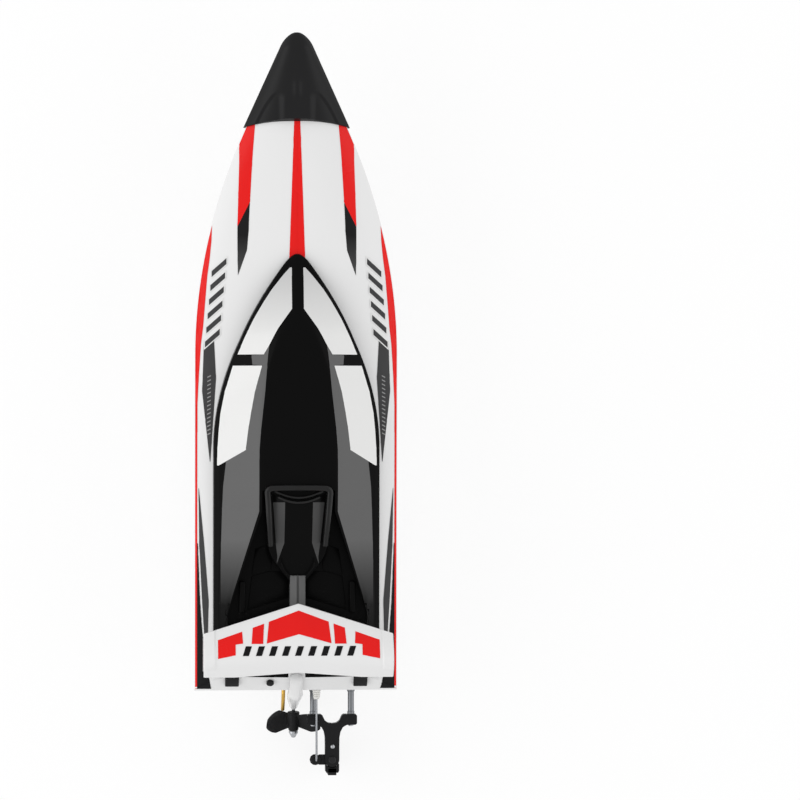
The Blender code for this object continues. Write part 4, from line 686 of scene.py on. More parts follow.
cowlShape = dict(front=0.1183, shoulder=0.0847, tail=0.064, aft=0.062, half=0.0195, shoulderHalf=0.0172,
                 tailHalf=0.0044, closing=1.65, topZ=0.089, tailZ=0.0705, facet=0.0077, facetTurn=0.086,
                 facetEnd=0.0736, facetHalf=0.012, groove=0.0043, slope=0.5, steps=60, ridgeMost=0.92,
                 footOut=0.0002, sink=0.0004, sideDrop=0.0012, edgeIn=0.0006, edgeDrop=0.0004, ridgeDrop=0.0002,
                 crownShare=0.2, soft=(0.0004, 0.0003, 0.0005, 0.0005))
cowlMouth = dict(half=15.6, edge=114.6, bow=5.4, front=116.6, count=16, lowZ=83.2, highZ=95, lipRadius=0.0007,
                 lipLift=0.1, lipFall=1.6, lipFlat=7.7, lipHalf=12, slatRadius=0.0010, slatAhead=2.6,
                 slatZ=85.6)
cowlRail = dict(radius=0.0018, stations=(0.0847, 0.090, 0.096, 0.102, 0.108, 0.1125), inset=0.0016, lift=0.0012,
                grow=0.0016, growRun=0.028, topZ=0.0872, middle=(0, 117.5, 87.4),
                corner=((17.6, 115.4, 87.0), (16.2, 117.0, 87.2), (13.6, 117.4, 87.3)))
spineShape = dict(half=[(4.4, 61.6), (4.4, 71.0), (0.65, 73.2), (0.55, 72.2), (0.1, 72.2)],
                  stations=(67.2, 60, 52, 44.6))
cockpit = dict(trim=((9.6, 75, 75.6), (8.6, 71.5, 74.6), (7.0, 69.2, 74.0), (4.6, 66.4, 73.5)),
               trimRadius=0.0005, finX=31.6, finHalf=1.7, finFrom=45.6, finTo=63.8, finZ=68.5, floorZ=61.6,
               plates=(([(13.5, 84), (18.7, 84), (24, 82), (26, 67.4), (15, 69.6)], 62.9),
                       ([(5, 69.2), (15.5, 69.2), (26, 66.6), (28.4, 47), (5, 54)], 62.5)))


def cowlHalf(s):
    w = cowlShape
    straight = (w["front"] - s) / (w["front"] - w["shoulder"])
    if straight <= 1:
        return w["half"] + (w["shoulderHalf"] - w["half"]) * straight
    closing = min(1, (w["shoulder"] - s) / (w["shoulder"] - w["tail"]))
    return w["shoulderHalf"] + (w["tailHalf"] - w["shoulderHalf"]) * closing ** w["closing"]


def cowlTop(s):
    w = cowlShape
    run = min(1, (w["front"] - s) / (w["front"] - w["tail"]))
    return w["topZ"] + (w["tailZ"] - w["topZ"]) * (1 - math.cos(run * math.pi)) / 2


def cowlLines(s):
    # half width, ridge half, foot of the sloping facet and its height
    w = cowlShape
    wide = cowlHalf(s)
    closing = min(1, max(0, (w["facetTurn"] - s) / (w["facetTurn"] - w["facetEnd"])))
    ridge = min(w["facet"] + (w["facetHalf"] - w["facet"]) * closing, w["ridgeMost"] * wide)
    foot = max(wide - w["groove"], ridge + w["footOut"])
    return wide, ridge, foot, cowlTop(s) - w["slope"] * (foot - ridge)


def cowlRing(s):
    w = cowlShape
    wide, ridge, foot, low = cowlLines(s)
    top = cowlTop(s)
    half = [(wide, canopyLines["wellZ"] - w["sink"]), (wide, low - w["sideDrop"]),
            (wide - w["edgeIn"], low - w["edgeDrop"]), (foot, low - w["ridgeDrop"]),
            (ridge, top - w["ridgeDrop"]), (w["crownShare"] * ridge, top)]
    return section(s, rounded(half, w["soft"]))


def makeCowl():
    w, m, r = cowlShape, cowlMouth, cowlRail
    stations = [w["front"] - (w["front"] - w["aft"]) * i / w["steps"] for i in range(w["steps"] + 1)]
    cowl = skin("cowl_body", [cowlRing(s) for s in stations])
    lip = []
    for i in range(m["count"] + 1):
        share = 2 * i / m["count"] - 1
        lip.append((-m["half"] * share, m["edge"] - m["bow"] * (1 - share**2)))
    mouth = lip + [(-m["half"], m["front"]), (m["half"], m["front"])]
    boolean(cowl, slab("slot", mouth, m["lowZ"], m["highZ"]))
    dress(smooth(cowl, 30), "canopy", "canopy", "black_gloss")
    half = []
    for s in r["stations"]:
        wide, _, _, low = cowlLines(s)
        z = low + r["lift"] + r["grow"] * ease(s - r["stations"][0], r["growRun"])
        half.append(at(wide - r["inset"], s, min(z, r["topZ"])))
    half += [mm(*p) for p in r["corner"]]
    rim = half + [mm(*r["middle"])] + [Vector((-p.x, p.y, p.z)) for p in reversed(half)]
    dress(tube("cowl_rim", routed(rim, 6), r["radius"], 5), "canopy", "rail", "black_gloss")
    edge = []
    for x, s in lip[2:-2]:
        fall = m["lipFall"] * (x / m["lipHalf"]) ** 4 if abs(x) > m["lipFlat"] else 0
        edge.append(mm(x, s, 1000 * cowlTop(s / 1000) - fall + m["lipLift"]))
    slats = [tube("lip", edge, m["lipRadius"]),
             tube("slat", [mm(x, s + m["slatAhead"], m["slatZ"]) for x, s in lip[1:-1]], m["slatRadius"])]
    dress(joined(slats, "cowl_slats"), "canopy", "rail", "black_gloss")
    return cowl


def makeCockpit():
    c = cockpit
    rings = [[mm(x, s, z) for x, z in mirrored(spineShape["half"])] for s in spineShape["stations"]]
    spine = skin("cowl_spine", rings)
    bevelled(spine, 0.0002, 2, 20)
    # the spine's grey is a painted reflection
    dress(smooth(spine, 20), "canopy", "ridge", "black_gloss")
    pieces = []
    for side in (-1, 1):
        line = routed([mm(side * x, s, z) for x, s, z in c["trim"]], 6)
        pieces.append(tube("trim", line, c["trimRadius"], 3))
        middle = side * c["finX"]
        pieces.append(block("fin", mm(middle - c["finHalf"], c["finFrom"], c["floorZ"]),
                            mm(middle + c["finHalf"], c["finTo"], c["finZ"]), 0.0007, 3))
        for outline, top in c["plates"]:
            plate = slab("plate", [(side * x, s) for x, s in outline], c["floorZ"], top)
            pieces.append(bevelled(plate, 0.0004))
    details = joined(pieces, "cockpit_details")
    dress(smooth(details, 35), "canopy", "canopy", "black_gloss")


cowlBody = makeCowl()
makeCockpit()
print("canopy")


# cut vinyl laid on a surface: strips are (station, inner x, outer x) in mm, both sides alike

vinylCut = dict(startZ=150, shortest=0.01)      # a sheet starts above everything, mm


def vinylSheet(outline, cell):
    xs = [p[0] for p in outline]
    ys = [p[1] for p in outline]
    low, high = Vector((min(xs), min(ys))), Vector((max(xs), max(ys)))
    bpy.ops.object.select_all(action="DESELECT")
    counts = [max(1, int((high[i] - low[i]) / cell)) for i in (0, 1)]
    middle = mm((low.x + high.x) / 2, (low.y + high.y) / 2, vinylCut["startZ"])
    bpy.ops.mesh.primitive_grid_add(x_subdivisions=counts[0], y_subdivisions=counts[1], size=1, location=middle)
    sheet = bpy.context.object
    sheet.scale = ((high.x - low.x) / 1000, (high.y - low.y) / 1000, 1)
    bpy.ops.object.transform_apply(location=True, rotation=True, scale=True)
    area = sum(a[0] * b[1] - b[0] * a[1] for a, b in zip(outline, outline[1:] + outline[:1]))
    corners = outline if area > 0 else outline[::-1]
    bpy.ops.object.mode_set(mode="EDIT")
    for a, b in zip(corners, corners[1:] + corners[:1]):
        if (Vector(b) - Vector(a)).length < vinylCut["shortest"]:
            continue
        bpy.ops.mesh.select_all(action="SELECT")
        outward = Vector((b[1] - a[1], a[0] - b[0], 0)).normalized()
        bpy.ops.mesh.bisect(plane_co=mm(a[0], a[1], vinylCut["startZ"]), plane_no=outward, clear_outer=True)
    bpy.ops.object.mode_set(mode="OBJECT")
    return sheet


def vinyl(name, outlines, onto, body, material, slot, cell=1.6, lift=0.00014, edge=None):
    sheet = joined([vinylSheet(o, cell) for o in outlines], name)
    closeUp(sheet)
    for vertex in sheet.data.vertices:
        if edge:                       # trimmed where the surface ends
            reach = edge(vertex.co.y - lines["transomY"])
            vertex.co.x = max(-reach, min(reach, vertex.co.x))
    wrap = sheet.modifiers.new("lay", "SHRINKWRAP")
    wrap.target = onto
    wrap.wrap_method = "PROJECT"
    wrap.use_project_z = True
    wrap.use_negative_direction = True
    wrap.use_positive_direction = False
    wrap.offset = 0
    applyMods(sheet)
    for vertex in sheet.data.vertices:
        vertex.co.z += lift
    inEdit(sheet, normals_make_consistent=dict(inside=False))
    if sum(p.normal.z for p in sheet.data.polygons) < 0:
        inEdit(sheet, flip_normals={})
    return dress(smooth(sheet, 40), body, material, slot)


def strips(rows, sides=(-1, 1)):
    outlines = []
    for side in sides:
        for (s0, in0, out0), (s1, in1, out1) in zip(rows, rows[1:]):
            outlines.append([(side * in0, s0), (side * out0, s0), (side * out1, s1), (side * in1, s1)])
    return outlines


def both(outline):
    return [outline, [(-x, s) for x, s in outline]]


def slanted(middle, run, up):
    return both([tuple(corner) for corner in (middle - run - up, middle + run - up, middle + run + up,
                                              middle - run + up)])


deckGraphics = dict(
    trim=0.0004,
    stripe=[(362, -0.1, 0.3), (329, -0.1, 1.7), (250, -0.1, 4.5), (246.5, -0.1, 4.7)],
    redBar=[(334, 23.4, 40), (322, 24.3, 40), (312.5, 25.1, 33.0), (304, 25.7, 33.1), (283, 26.9, 33.7),
            (281, 27.0, 33.75), (267, 34.1, 34.2)],
    blackBar=[(280.9, 27.1, 27.2), (267, 27.7, 34.1), (264, 27.8, 34.15), (253.4, 28.7, 34.1),
              (239, 33.8, 33.9)],
    edgeBand=[(268, 0.3), (259, 2.2), (249, 3.3), (238.6, 3.7), (224, 4.4), (209, 4.4), (199.7, 3.6),
              (180, 2.4), (165, 1.7), (149, 1.6), (60, 1.5), (1, 1.4)],      # station, width in from the edge
    edgeOut=60,
    sidePanel=[(201.5, 47.4, 53.2), (179.8, 46.3, 53.9), (172.5, 46.8, 54.2), (132.1, 49.5, 49.8)],
    rearPanel=[(116.7, 56.0, 56.2), (85, 53.0, 55.8), (52.2, 50.4, 54.2), (33.5, 50.8, 53.0), (20, 51.2, 51.9)],
    sternPanel=[(85, 56.6, 56.9), (52, 55.3, 57.0), (33.5, 54.0, 57.0), (12, 51.2, 57.0), (1, 48.8, 57.0)],
    slashFrom=(44.6, 243.5), slashTo=(48.4, 203.0), slashCount=6, slashRun=(4.2, -3.7), slashThick=1.7,
    slashEdge=0.8,
    tickFrom=(50.2, 181.0), tickTo=(50.4, 148.0), tickCount=15, tickLean=0.5, tickLong=1.0, tickThick=0.32,
)


def deckEdge(s):
    return halfBeam(s) - deckGraphics["trim"]


def canopyEdge(s):
    return canopyHalf(s) - canopyGraphics["trim"]


def dressDeck():
    g = deckGraphics

    def lay(name, outlines, material, slot, lift=0.00014, cell=1.6):
        vinyl(name, outlines, deckTop, "hull", material, slot, cell, lift, deckEdge)

    lay("centre_stripe", strips(g["stripe"]), "redVinyl", "red_plug")
    lay("side_bars_red", strips(g["redBar"]), "redVinyl", "red_plug")
    lay("side_bars_black", strips(g["blackBar"]), "barVinyl", "black_fitting", 0.0001)
    band = [(s, 1000 * halfBeam(s / 1000) - wide, g["edgeOut"]) for s, wide in g["edgeBand"]]
    lay("edge_streaks_red", strips(band), "redVinyl", "red_plug")
    lay("side_panels_black", strips(g["sidePanel"]), "greyVinyl", "black_fitting", 0.0002)
    lay("rear_panels_black", strips(g["rearPanel"]), "greyVinyl", "black_fitting", 0.0002)
    lay("stern_panels_black", strips(g["sternPanel"]), "blackVinyl", "black_fitting", 0.00028, 0.5)
    slashes, borders, ticks = [], [], []
    for i in range(g["slashCount"]):
        middle = Vector(g["slashFrom"]).lerp(Vector(g["slashTo"]), i / (g["slashCount"] - 1))
        for grow, group in ((0, slashes), (g["slashEdge"], borders)):
            run = Vector(g["slashRun"]) + Vector(g["slashRun"]).normalized() * grow
            group.extend(slanted(middle, run, Vector((0, g["slashThick"] + grow))))
    for i in range(g["tickCount"]):
        middle = Vector(g["tickFrom"]).lerp(Vector(g["tickTo"]), i / (g["tickCount"] - 1))
        ticks += slanted(middle, Vector((g["tickLong"], -g["tickLean"])), Vector((0, g["tickThick"])))
    lay("panel_ticks", ticks, "tickVinyl", "white_shell", 0.00032)
    lay("slash_borders", borders, "whiteVinyl", "white_shell", 0.00026)
    lay("shoulder_slashes", slashes, "greyVinyl", "black_fitting", 0.00034)


canopyGraphics = dict(
    trim=0.0007, cell=1.2,
    front=[(243.3, 3.3, 4.4), (238.6, 3.4, 8.6), (231, 3.4, 14.6), (224, 3.4, 19.2), (219.6, 3.4, 21.8),
           (214, 7.4, 25.0), (208.4, 11.4, 27.8), (203.3, 14.2, 30.2), (198.6, 16.6, 32.2), (194.5, 19.0, 33.9),
           (193.5, 19.6, 34.3)],
    rear=[(187.1, 20.6, 36.9), (172.6, 24.7, 41.4), (160, 27.0, 43.9), (150, 28.6, 44.9), (139, 29.9, 45.6),
          (130, 44.9, 45.8)],
    # outlines of the grey painted reflections on the canopy's sloping sides
    windowReflection=[(198.4, 16.5, 16.7), (193.4, 17.2, 19.5), (193.2, 17.2, 26.4), (187.6, 17.8, 26.0),
            (187.2, 17.8, 20.4), (172.6, 19.0, 24.6), (160, 20.4, 26.9), (150, 21.5, 28.5), (139, 22.3, 29.8),
            (134, 22.4, 40.6), (118, 22.4, 42.4), (104, 22.4, 43.0), (82, 29.2, 43.6), (69, 33.2, 43.8),
            (56, 37.2, 43.8), (38, 41.6, 43.8)],
    facet=[(109.4, 7.9, 14.6), (86, 7.9, 12.7), (78, 10.6, 11.7), (74, 11.9, 12.0)],
)


def dressCanopy():
    g = canopyGraphics

    def lay(name, outlines, material, slot, lift):
        vinyl(name, outlines, canopyBody, "canopy", material, slot, g["cell"], lift, canopyEdge)

    lay("canopy_front_panels", strips(g["front"]), "panel", "white_shell", 0.00026)
    lay("canopy_rear_panels", strips(g["rear"]), "whiteVinyl", "white_shell", 0.00030)
    # grey sheets painted as the reflections on the canopy's sides
    lay("canopy_window_reflections", strips(g["windowReflection"]), "windowReflection", "black_gloss", 0.00022)
    facets = strips(g["facet"])
    # grey sheets painted as the reflections on the cowl's sloping facets
    vinyl("cowl_facet_reflections", facets, cowlBody, "canopy", "facetReflection", "black_gloss", g["cell"], 0.0002)


dressDeck()
dressCanopy()
print("vinyl")


# nose bumper

nose = dict(lead=0.0017, length=0.0547, blunt=0.0057, bluntRun=0.008, flare=0.455, tuck=0.92, rise=0.0022,
            lowZ=0.047, sweep=0.0046, round=0.009, spine=0.0065, panelTop=0.034, panelRun=0.0182,
            panelHalf=0.0101, panelGrow=0.0140, panelCurve=0.6, panelSoft=0.25, sink=0.0012, softIn=0.0046,
            softOut=0.0019, bulgeHalf=0.0024, bulgeRise=0.0012, bulgeFrom=(0.024, 0.031),
            bulgeTo=(-0.043, -0.034), rows=56, crownGap=0.006, steps=84, firstStep=0.02, crowd=1.4, bilge=0.97,
            bilgeDrop=0.75)


def noseHalf(behind):
    return nose["blunt"] * ease(behind, nose["bluntRun"]) ** 0.5 + nose["flare"] * behind


def ramp(value, low, high):
    t = min(1, max(0, (value - low) / (high - low)))
    return t * t * (3 - 2 * t)


def noseRelief(x, behind):
    # a slim bulge on the spine, and a sunk panel with an arched top on each side of it
    n = nose
    swell = ramp(behind, *n["bulgeFrom"]) * ramp(-behind, *n["bulgeTo"])
    bulge = n["bulgeRise"] * swell * math.exp(-(x / n["bulgeHalf"]) ** 2)
    reach = max(0, (behind - n["panelTop"]) / n["panelRun"])
    outside = n["panelHalf"] + n["panelGrow"] * reach ** n["panelCurve"]
    panel = ramp(outside - abs(x), 0, n["softOut"]) * ramp(abs(x) - n["spine"], 0, n["softIn"])
    return bulge - n["sink"] * (panel * ramp(reach, 0, n["panelSoft"]))


def makeBumper():
    n = nose
    tip = lines["length"] + n["lead"]
    shares = [1 - i / n["rows"] for i in range(n["rows"])] + [n["crownGap"]]
    rings = []
    for i in range(n["steps"] + 1):
        behind = n["length"] * max(i / n["steps"], n["firstStep"]) ** n["crowd"]
        s = tip - behind
        wide = noseHalf(behind)
        swell = min(1, behind / n["round"]) ** 0.5
        middle = sheerZ(min(s, lines["length"]))
        top = lines["gap"] + lines["gunwale"] + n["rise"] + lines["crown"] * ease(behind, lines["crownTaper"])
        low = (middle - n["lowZ"]) * swell
        half = [(n["tuck"] * wide, middle - low), (n["bilge"] * wide, middle - n["bilgeDrop"] * low),
                (wide, middle - low / 3), (wide, middle + lines["gunwale"] / 2)]
        lead = n["sweep"] * behind / n["length"]
        for k in shares:
            x = wide * k
            relief = noseRelief(x, behind - lead * (1 - k**2))
            half.append((x, middle + lines["gunwale"] + top * swell * (1 - k ** lines["deckCurve"]) + relief))
        rings.append([at(x, s + lead * (1 - (x / wide) ** 2), z) for x, z in mirrored(half)])
    bumper = skin("bumper_cap", rings)
    boolean(bumper, refinedSeat())
    return dress(smooth(bumper, 38), "bumper", "bumper", "black_bumper", "nose_bumper")


keel = dict(z=0.014, pad=0.018, forefoot=0.150, footZ=0.054, curve=2.4, riseAft=15, riseBow=42, chine=0.86,
            rail=0.0016)
bowSeat = dict(reach=0.0587, step=0.003, count=20, stop=0.0008,
               shares=(1, 0.97, 0.9, 0.8, 0.66, 0.5, 0.3, 0.12))


def refinedSeat():
    # the bow's own lines with a gap round them, to cut the cap's inside
    k = keel
    rings = []
    stations = [lines["length"] - bowSeat["reach"] + i * bowSeat["step"] for i in range(bowSeat["count"])]
    stations = [s for s in stations if s < lines["length"] - bowSeat["stop"]] + [lines["length"]]
    gap = lines["gap"]
    for s in stations:
        rise = max(0, s - (lines["length"] - k["forefoot"])) / k["forefoot"]
        floor = k["z"] + (k["footZ"] - k["z"]) * rise ** k["curve"]
        pad = k["pad"] / 2 * (1 - rise) + lines["stemHalf"] / 2 * rise
        x = halfBeam(s) * k["chine"]
        z = floor + (x - pad) * math.tan(math.radians(k["riseAft"] + (k["riseBow"] - k["riseAft"]) * rise))
        edge = halfBeam(s) + gap
        half = [(pad + gap, floor - gap), (x + gap, z - gap), (x + min(k["rail"], x / 10) + gap, z - gap),
                (edge, sheerZ(s))]
        half += [(edge * q, deckZ(halfBeam(s) * q, s) + gap) for q in bowSeat["shares"]]
        rings.append(section(s, half))
    rings.append([p + Vector((0, gap, 0)) for p in rings[-1]])
    return skin("seat", rings)


makeBumper()
print("bumper")


# wing

wingShape = dict(half=0.054, apex=0.0516, sweep=0.0171, aft=0.0098, notch=0.0026, notchHalf=0.036,
                 frontZ=0.0815, peakZ=0.090, aftZ=0.083, thick=0.0022, spans=24, brow=0.3, peak=0.45, tail=0.25,
                 tailDrop=0.0008, soft=(0.006, 0.006, 0.0035))
wingPlate = dict(thick=0.0054, inset=0.0003, front=0.003, aft=0.001, foot=0.0003, drop=0.0002, reach=0.0012,
                 capGap=0.00005, capThick=0.0012, capPoints=16,
                 cap=((0.0066, 0.0001), (0.0058, 0.0007), (0.0004, 0.0007)))      # inset from the tip and lift
wingGraphics = dict(
    chevrons=([(0, 47.8), (17.0, 41.5), (18.4, 29.4), (0, 34.6)],
              [(19.8, 40.4), (26.2, 38.1), (27.0, 29.2), (20.4, 29.2)],
              [(32.2, 36.0), (36.0, 34.7), (36.0, 28.8), (31.8, 29.4)],
              [(36.0, 34.7), (46.0, 31.2), (46.0, 20.8), (36.0, 22.8)]),
    mark=[(-2.4, 22.4), (1.0, 22.4), (2.8, 27.9), (-0.6, 27.9)], markPitch=7.4, markSide=4, lift=0.00016,
)


def wingRing(x, extra=0.0):
    w = wingShape
    front = w["apex"] - w["sweep"] * abs(x) / w["half"]
    run = front - w["aft"]
    end = w["aft"] + w["notch"] * max(0, 1 - abs(x) / w["notchHalf"])
    top = [(front, w["frontZ"]), (front - w["brow"] * run, (w["frontZ"] + 2 * w["peakZ"]) / 3),
           (w["aft"] + w["peak"] * run, w["peakZ"]), (w["aft"] + w["tail"] * run, w["peakZ"] - w["tailDrop"]),
           (end, w["aftZ"])]
    top = rounded(top, w["soft"], 4)
    under = [(s, z - w["thick"]) for s, z in reversed(top)]
    return [at(x, s, z + extra) for s, z in top + under]


def makeWing():
    w, p, g = wingShape, wingPlate, wingGraphics
    spans = range(-w["spans"], w["spans"] + 1)
    wing = skin("wing_blade", [wingRing(w["half"] * i / w["spans"]) for i in spans])
    bevelled(wing, 0.0005, 2, 40)
    dress(smooth(wing, 30), "canopy", "shell", "white_shell", "rear_wing")
    plates = []
    for side in (-1, 1):
        rings = []
        for x in (w["half"] - p["thick"], w["half"] - p["inset"]):
            front, aft = w["apex"] - w["sweep"] * x / w["half"] - p["front"], w["aft"] + p["aft"]
            foot = [at(side * x, s, deckZ(x, s) + p["foot"]) for s in (front, aft)]
            blade = wingRing(side * x, -p["drop"])          # its second half runs forward along the underside
            under = [v for v in blade[len(blade) // 2:] if foot[1].y <= v.y <= foot[0].y + p["reach"]]
            rings.append(under + foot)
        plates.append(bevelled(skin("plate", rings), 0.0008, 3, 40))
        cap = []
        for inset, lift in p["cap"]:
            blade = wingRing(side * (w["half"] - inset))[:p["capPoints"]]
            top = [v + Vector((0, 0, p["capGap"] + lift)) for v in blade]
            cap.append(top + [v - Vector((0, 0, p["capThick"])) for v in reversed(top)])
        plates.append(skin("cap", cap))
    stand = joined(plates, "wing_plates")
    dress(smooth(stand, 30), "canopy", "shell", "white_shell")
    red = [outline for chevron in g["chevrons"] for outline in both(chevron)]
    vinyl("wing_chevrons", red, wing, "canopy", "redVinyl", "red_plug", 1.6, g["lift"])
    middles = [i * g["markPitch"] for i in range(-g["markSide"], g["markSide"] + 1)]
    marks = [[(middle + x, s) for x, s in g["mark"]] for middle in middles]
    vinyl("wing_slashes", marks, wing, "canopy", "blackVinyl", "black_fitting", 1.2, g["lift"])


makeWing()
for side in ("left", "right"):
    kept("canopy_clip_" + side, "nylon", "black_fitting", 0.0008, 30, "canopy")
print("wing")


# screws: a domed head with a cross recess, made once and copied

screwSize = dict(radius=0.0016, height=0.0010, dome=((0, 1), (0.4, 1), (0.75, 0.82), (1, 0.45)), crossLong=0.62,
                 crossSlim=0.13, crossFloor=0.45)      # shares of height and radius


def makeScrew():
    w = screwSize
    r, h, floor = w["radius"], w["height"], w["crossFloor"] * w["height"]
    head = turned("screw", (0, 0, 0), (0, 0, h), [(up * h, out * r) for up, out in w["dome"]], 24)
    for x, y in ((w["crossLong"], w["crossSlim"]), (w["crossSlim"], w["crossLong"])):
        boolean(head, block("cross", (-x * r, -y * r, floor), (x * r, y * r, 2 * h), 0.00001, 1))
    smooth(head, 30)
    return head


masterScrew = makeScrew()


def screwsAt(name, places, body, out=(0, 0, 1), scale=1.0, material="screw", slot="motor_steel"):
    turn = Vector(out).to_track_quat("Z", "Y").to_matrix().to_4x4()
    heads = []
    for spot in places:
        head = masterScrew.copy()
        head.data = masterScrew.data.copy()
        head.data.transform(Matrix.Translation(spot) @ turn @ Matrix.Scale(scale, 4))
        bpy.context.scene.collection.objects.link(head)
        heads.append(head)
    return dress(joined(heads, name), body, material, slot)


# drive line along its slope

drive = dict(pitch=5.5, propStation=-0.020, propZ=0.0175)
pitch = math.radians(drive["pitch"])
shaftWay = Vector((0, math.cos(pitch), math.sin(pitch)))
shaftUp = Vector((0, -math.sin(pitch), math.cos(pitch)))
abeam = Vector((1, 0, 0))


def onShaft(s):
    return at(0, s, drive["propZ"] + (s - drive["propStation"]) * math.tan(pitch))


def onLine(name, profile, sides=40):
    # profile: (station, radius) from aft to front
    start = onShaft(profile[0][0])
    scale = 1 / math.cos(pitch)
    return turned(name, start, start + shaftWay, [((s - profile[0][0]) * scale, r) for s, r in profile], sides)


motor = dict(
    can=[(0.1440, 0.0118), (0.1444, 0.0128), (0.1500, 0.0130), (0.1503, 0.0135), (0.1758, 0.0135),
         (0.1761, 0.0131), (0.1772, 0.0131), (0.1775, 0.0135), (0.1834, 0.0135), (0.1840, 0.0130)],
    vents=(35, 145, 215, 325), ventStation=0.1472, ventOut=0.0130, ventIn=0.0012, ventPast=0.003,
    ventRadius=0.0011,
    stub=[(0.1340, 0.0015), (0.1342, 0.0016), (0.1436, 0.0016), (0.1438, 0.0015)],
    screwX=19.6, screwZ=24.5, screwStations=(135.4, 148.0),
)
coil = dict(station=0.1765, inside=0.0135 + 0.0004, tube=0.0017, turns=6, perTurn=40, pitch=0.0041, tail=0.018,
            tailShares=(0.25, 0.6, 1))
shaft = dict(
    coupler=[(0.1230, 0.0027), (0.1234, 0.0032), (0.1300, 0.0032), (0.1303, 0.0029), (0.1316, 0.0029),
             (0.1319, 0.0032), (0.1411, 0.0032), (0.1415, 0.0027)],
    grubs=(0.1255, 0.1385), grubOut=0.0032, grubLong=0.0009, grubRadius=0.0012,
    rod=[(-0.0270, 0.0009), (-0.0268, 0.001), (0.1268, 0.001), (0.1270, 0.0009)],
    casing=[(-0.0006, 0.00215), (0.1085, 0.00215), (0.1092, 0.0024), (0.1105, 0.0024), (0.1110, 0.0021)],
    bore=[(-0.01, 0.0014), (0.13, 0.0014)], clampX=6.3, clampStation=91,
    strands=6, strandFrom=0.1105, strandRun=0.0125, strandSteps=60, strandTurn=20, strandOut=0.0006,
    strandRadius=0.0004,
)


def makeMotor():
    m, c = motor, coil
    can = onLine("motor_body", m["can"], 64)
    for angle in m["vents"]:
        spoke = shaftUp * math.sin(math.radians(angle)) + abeam * math.cos(math.radians(angle))
        spot = onShaft(m["ventStation"]) + spoke * m["ventOut"]
        boolean(can, bar("vent", spot - spoke * m["ventIn"], spot + spoke * m["ventPast"], m["ventRadius"],
                         0.0002, 16))
    dress(smooth(can, 30), "hull", "can", "motor_steel", "motor_can")
    kept("motor_end_bell", "nylon", "black_fitting", 0.0004)
    kept("motor_mount", "nylon", "black_fitting", 0.0005)
    places = [mm(side * m["screwX"], s, m["screwZ"]) for side in (-1, 1) for s in m["screwStations"]]
    screwsAt("mount_screws", places, "hull", scale=1.25)
    # both ends of the winding leave level, to the left in front and to the right behind
    radius = c["inside"] + c["tube"]
    start = onShaft(c["station"])
    winding = [start + shaftUp * radius - abeam * c["tail"] * k for k in reversed(c["tailShares"])]
    for i in range(c["turns"] * c["perTurn"] + 1):
        a = 2 * math.pi * i / c["perTurn"]
        spoke = shaftUp * math.cos(a) + abeam * math.sin(a)
        winding.append(start - shaftWay * (c["pitch"] * i / c["perTurn"]) + spoke * radius)
    winding += [winding[-1] + abeam * c["tail"] * k for k in c["tailShares"]]
    dress(tube("coil_tube", winding, c["tube"], 5), "hull", "bright", "coil_metal", "cooling_coil")


def makeShaft():
    w = shaft

    def rod(name, profile, sides, body, material, node, angle=32):
        piece = onLine(name, profile, sides)
        dress(smooth(piece, angle), body, material, "motor_steel", node)

    rod("coupler", w["coupler"], 40, "drive", "bright", "shaft_coupling", 30)
    rod("motor_stub", motor["stub"], 24, "drive", "steel", "motor_shaft")
    grubs = []
    for s in w["grubs"]:
        for spoke in (abeam, -abeam):
            spot = onShaft(s) + spoke * w["grubOut"]
            grubs.append(bar("grub", spot, spot + spoke * w["grubLong"], w["grubRadius"], 0.0002, 16))
    screws = joined(grubs, "coupler_screws")
    dress(smooth(screws), "drive", "screw", "motor_steel")
    # twisted strands of the flexible shaft ahead of the tube
    strands = []
    for k in range(w["strands"]):
        points = []
        for i in range(w["strandSteps"] + 1):
            a = 2 * math.pi * (k / w["strands"] + i / w["strandTurn"])
            spoke = shaftUp * math.cos(a) + abeam * math.sin(a)
            s = w["strandFrom"] + w["strandRun"] * i / w["strandSteps"]
            points.append(onShaft(s) + spoke * w["strandOut"])
        strands.append(tube("strand", points, w["strandRadius"], 2))
    dress(joined(strands, "flex_strands"), "drive", "steel", "motor_steel")
    rod("shaft_rod", w["rod"], 24, "drive", "steel", "drive_shaft")
    casing = onLine("shaft_casing", w["casing"])
    boolean(casing, onLine("bore", w["bore"], 24))
    dress(smooth(casing), "hull", "steel", "motor_steel", "shaft_tube")
    kept("shaft_clamp", "nylon", "black_fitting", 0.0007)
    top = 1000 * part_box("shaft_clamp")[1][2]
    places = [mm(side * w["clampX"], w["clampStation"], top) for side in (-1, 1)]
    screwsAt("clamp_screws", places, "hull", scale=1.2)


makeMotor()
makeShaft()
print("drive")


propeller = dict(radius=0.0158, hub=0.0036, hubLength=0.011, chord=0.0150, thick=0.0012, blades=2, turn=75,
                 rings=22, points=20, root=0.0018, chordLean=1.1, chordLeast=0.012, rootChord=0.0080,
                 chordGrow=0.9, pitch=66, pitchFall=20, rake=0.0018, cup=0.0009, lean=0.0004, rootThick=1.15,
                 thickFall=0.75,
                 hubAft=[(0, 0.0026), (0.0006, 0.0030)], hubFront=[(0.0005, 0), (0, 0.0004)], nutGap=0.0003,
                 nut=[(-0.004, 0.0006), (-0.0038, 0.0011), (-0.0016, 0.0024), (-0.0013, 0.0027),
                      (-0.0002, 0.0027), (0, 0.0025)])


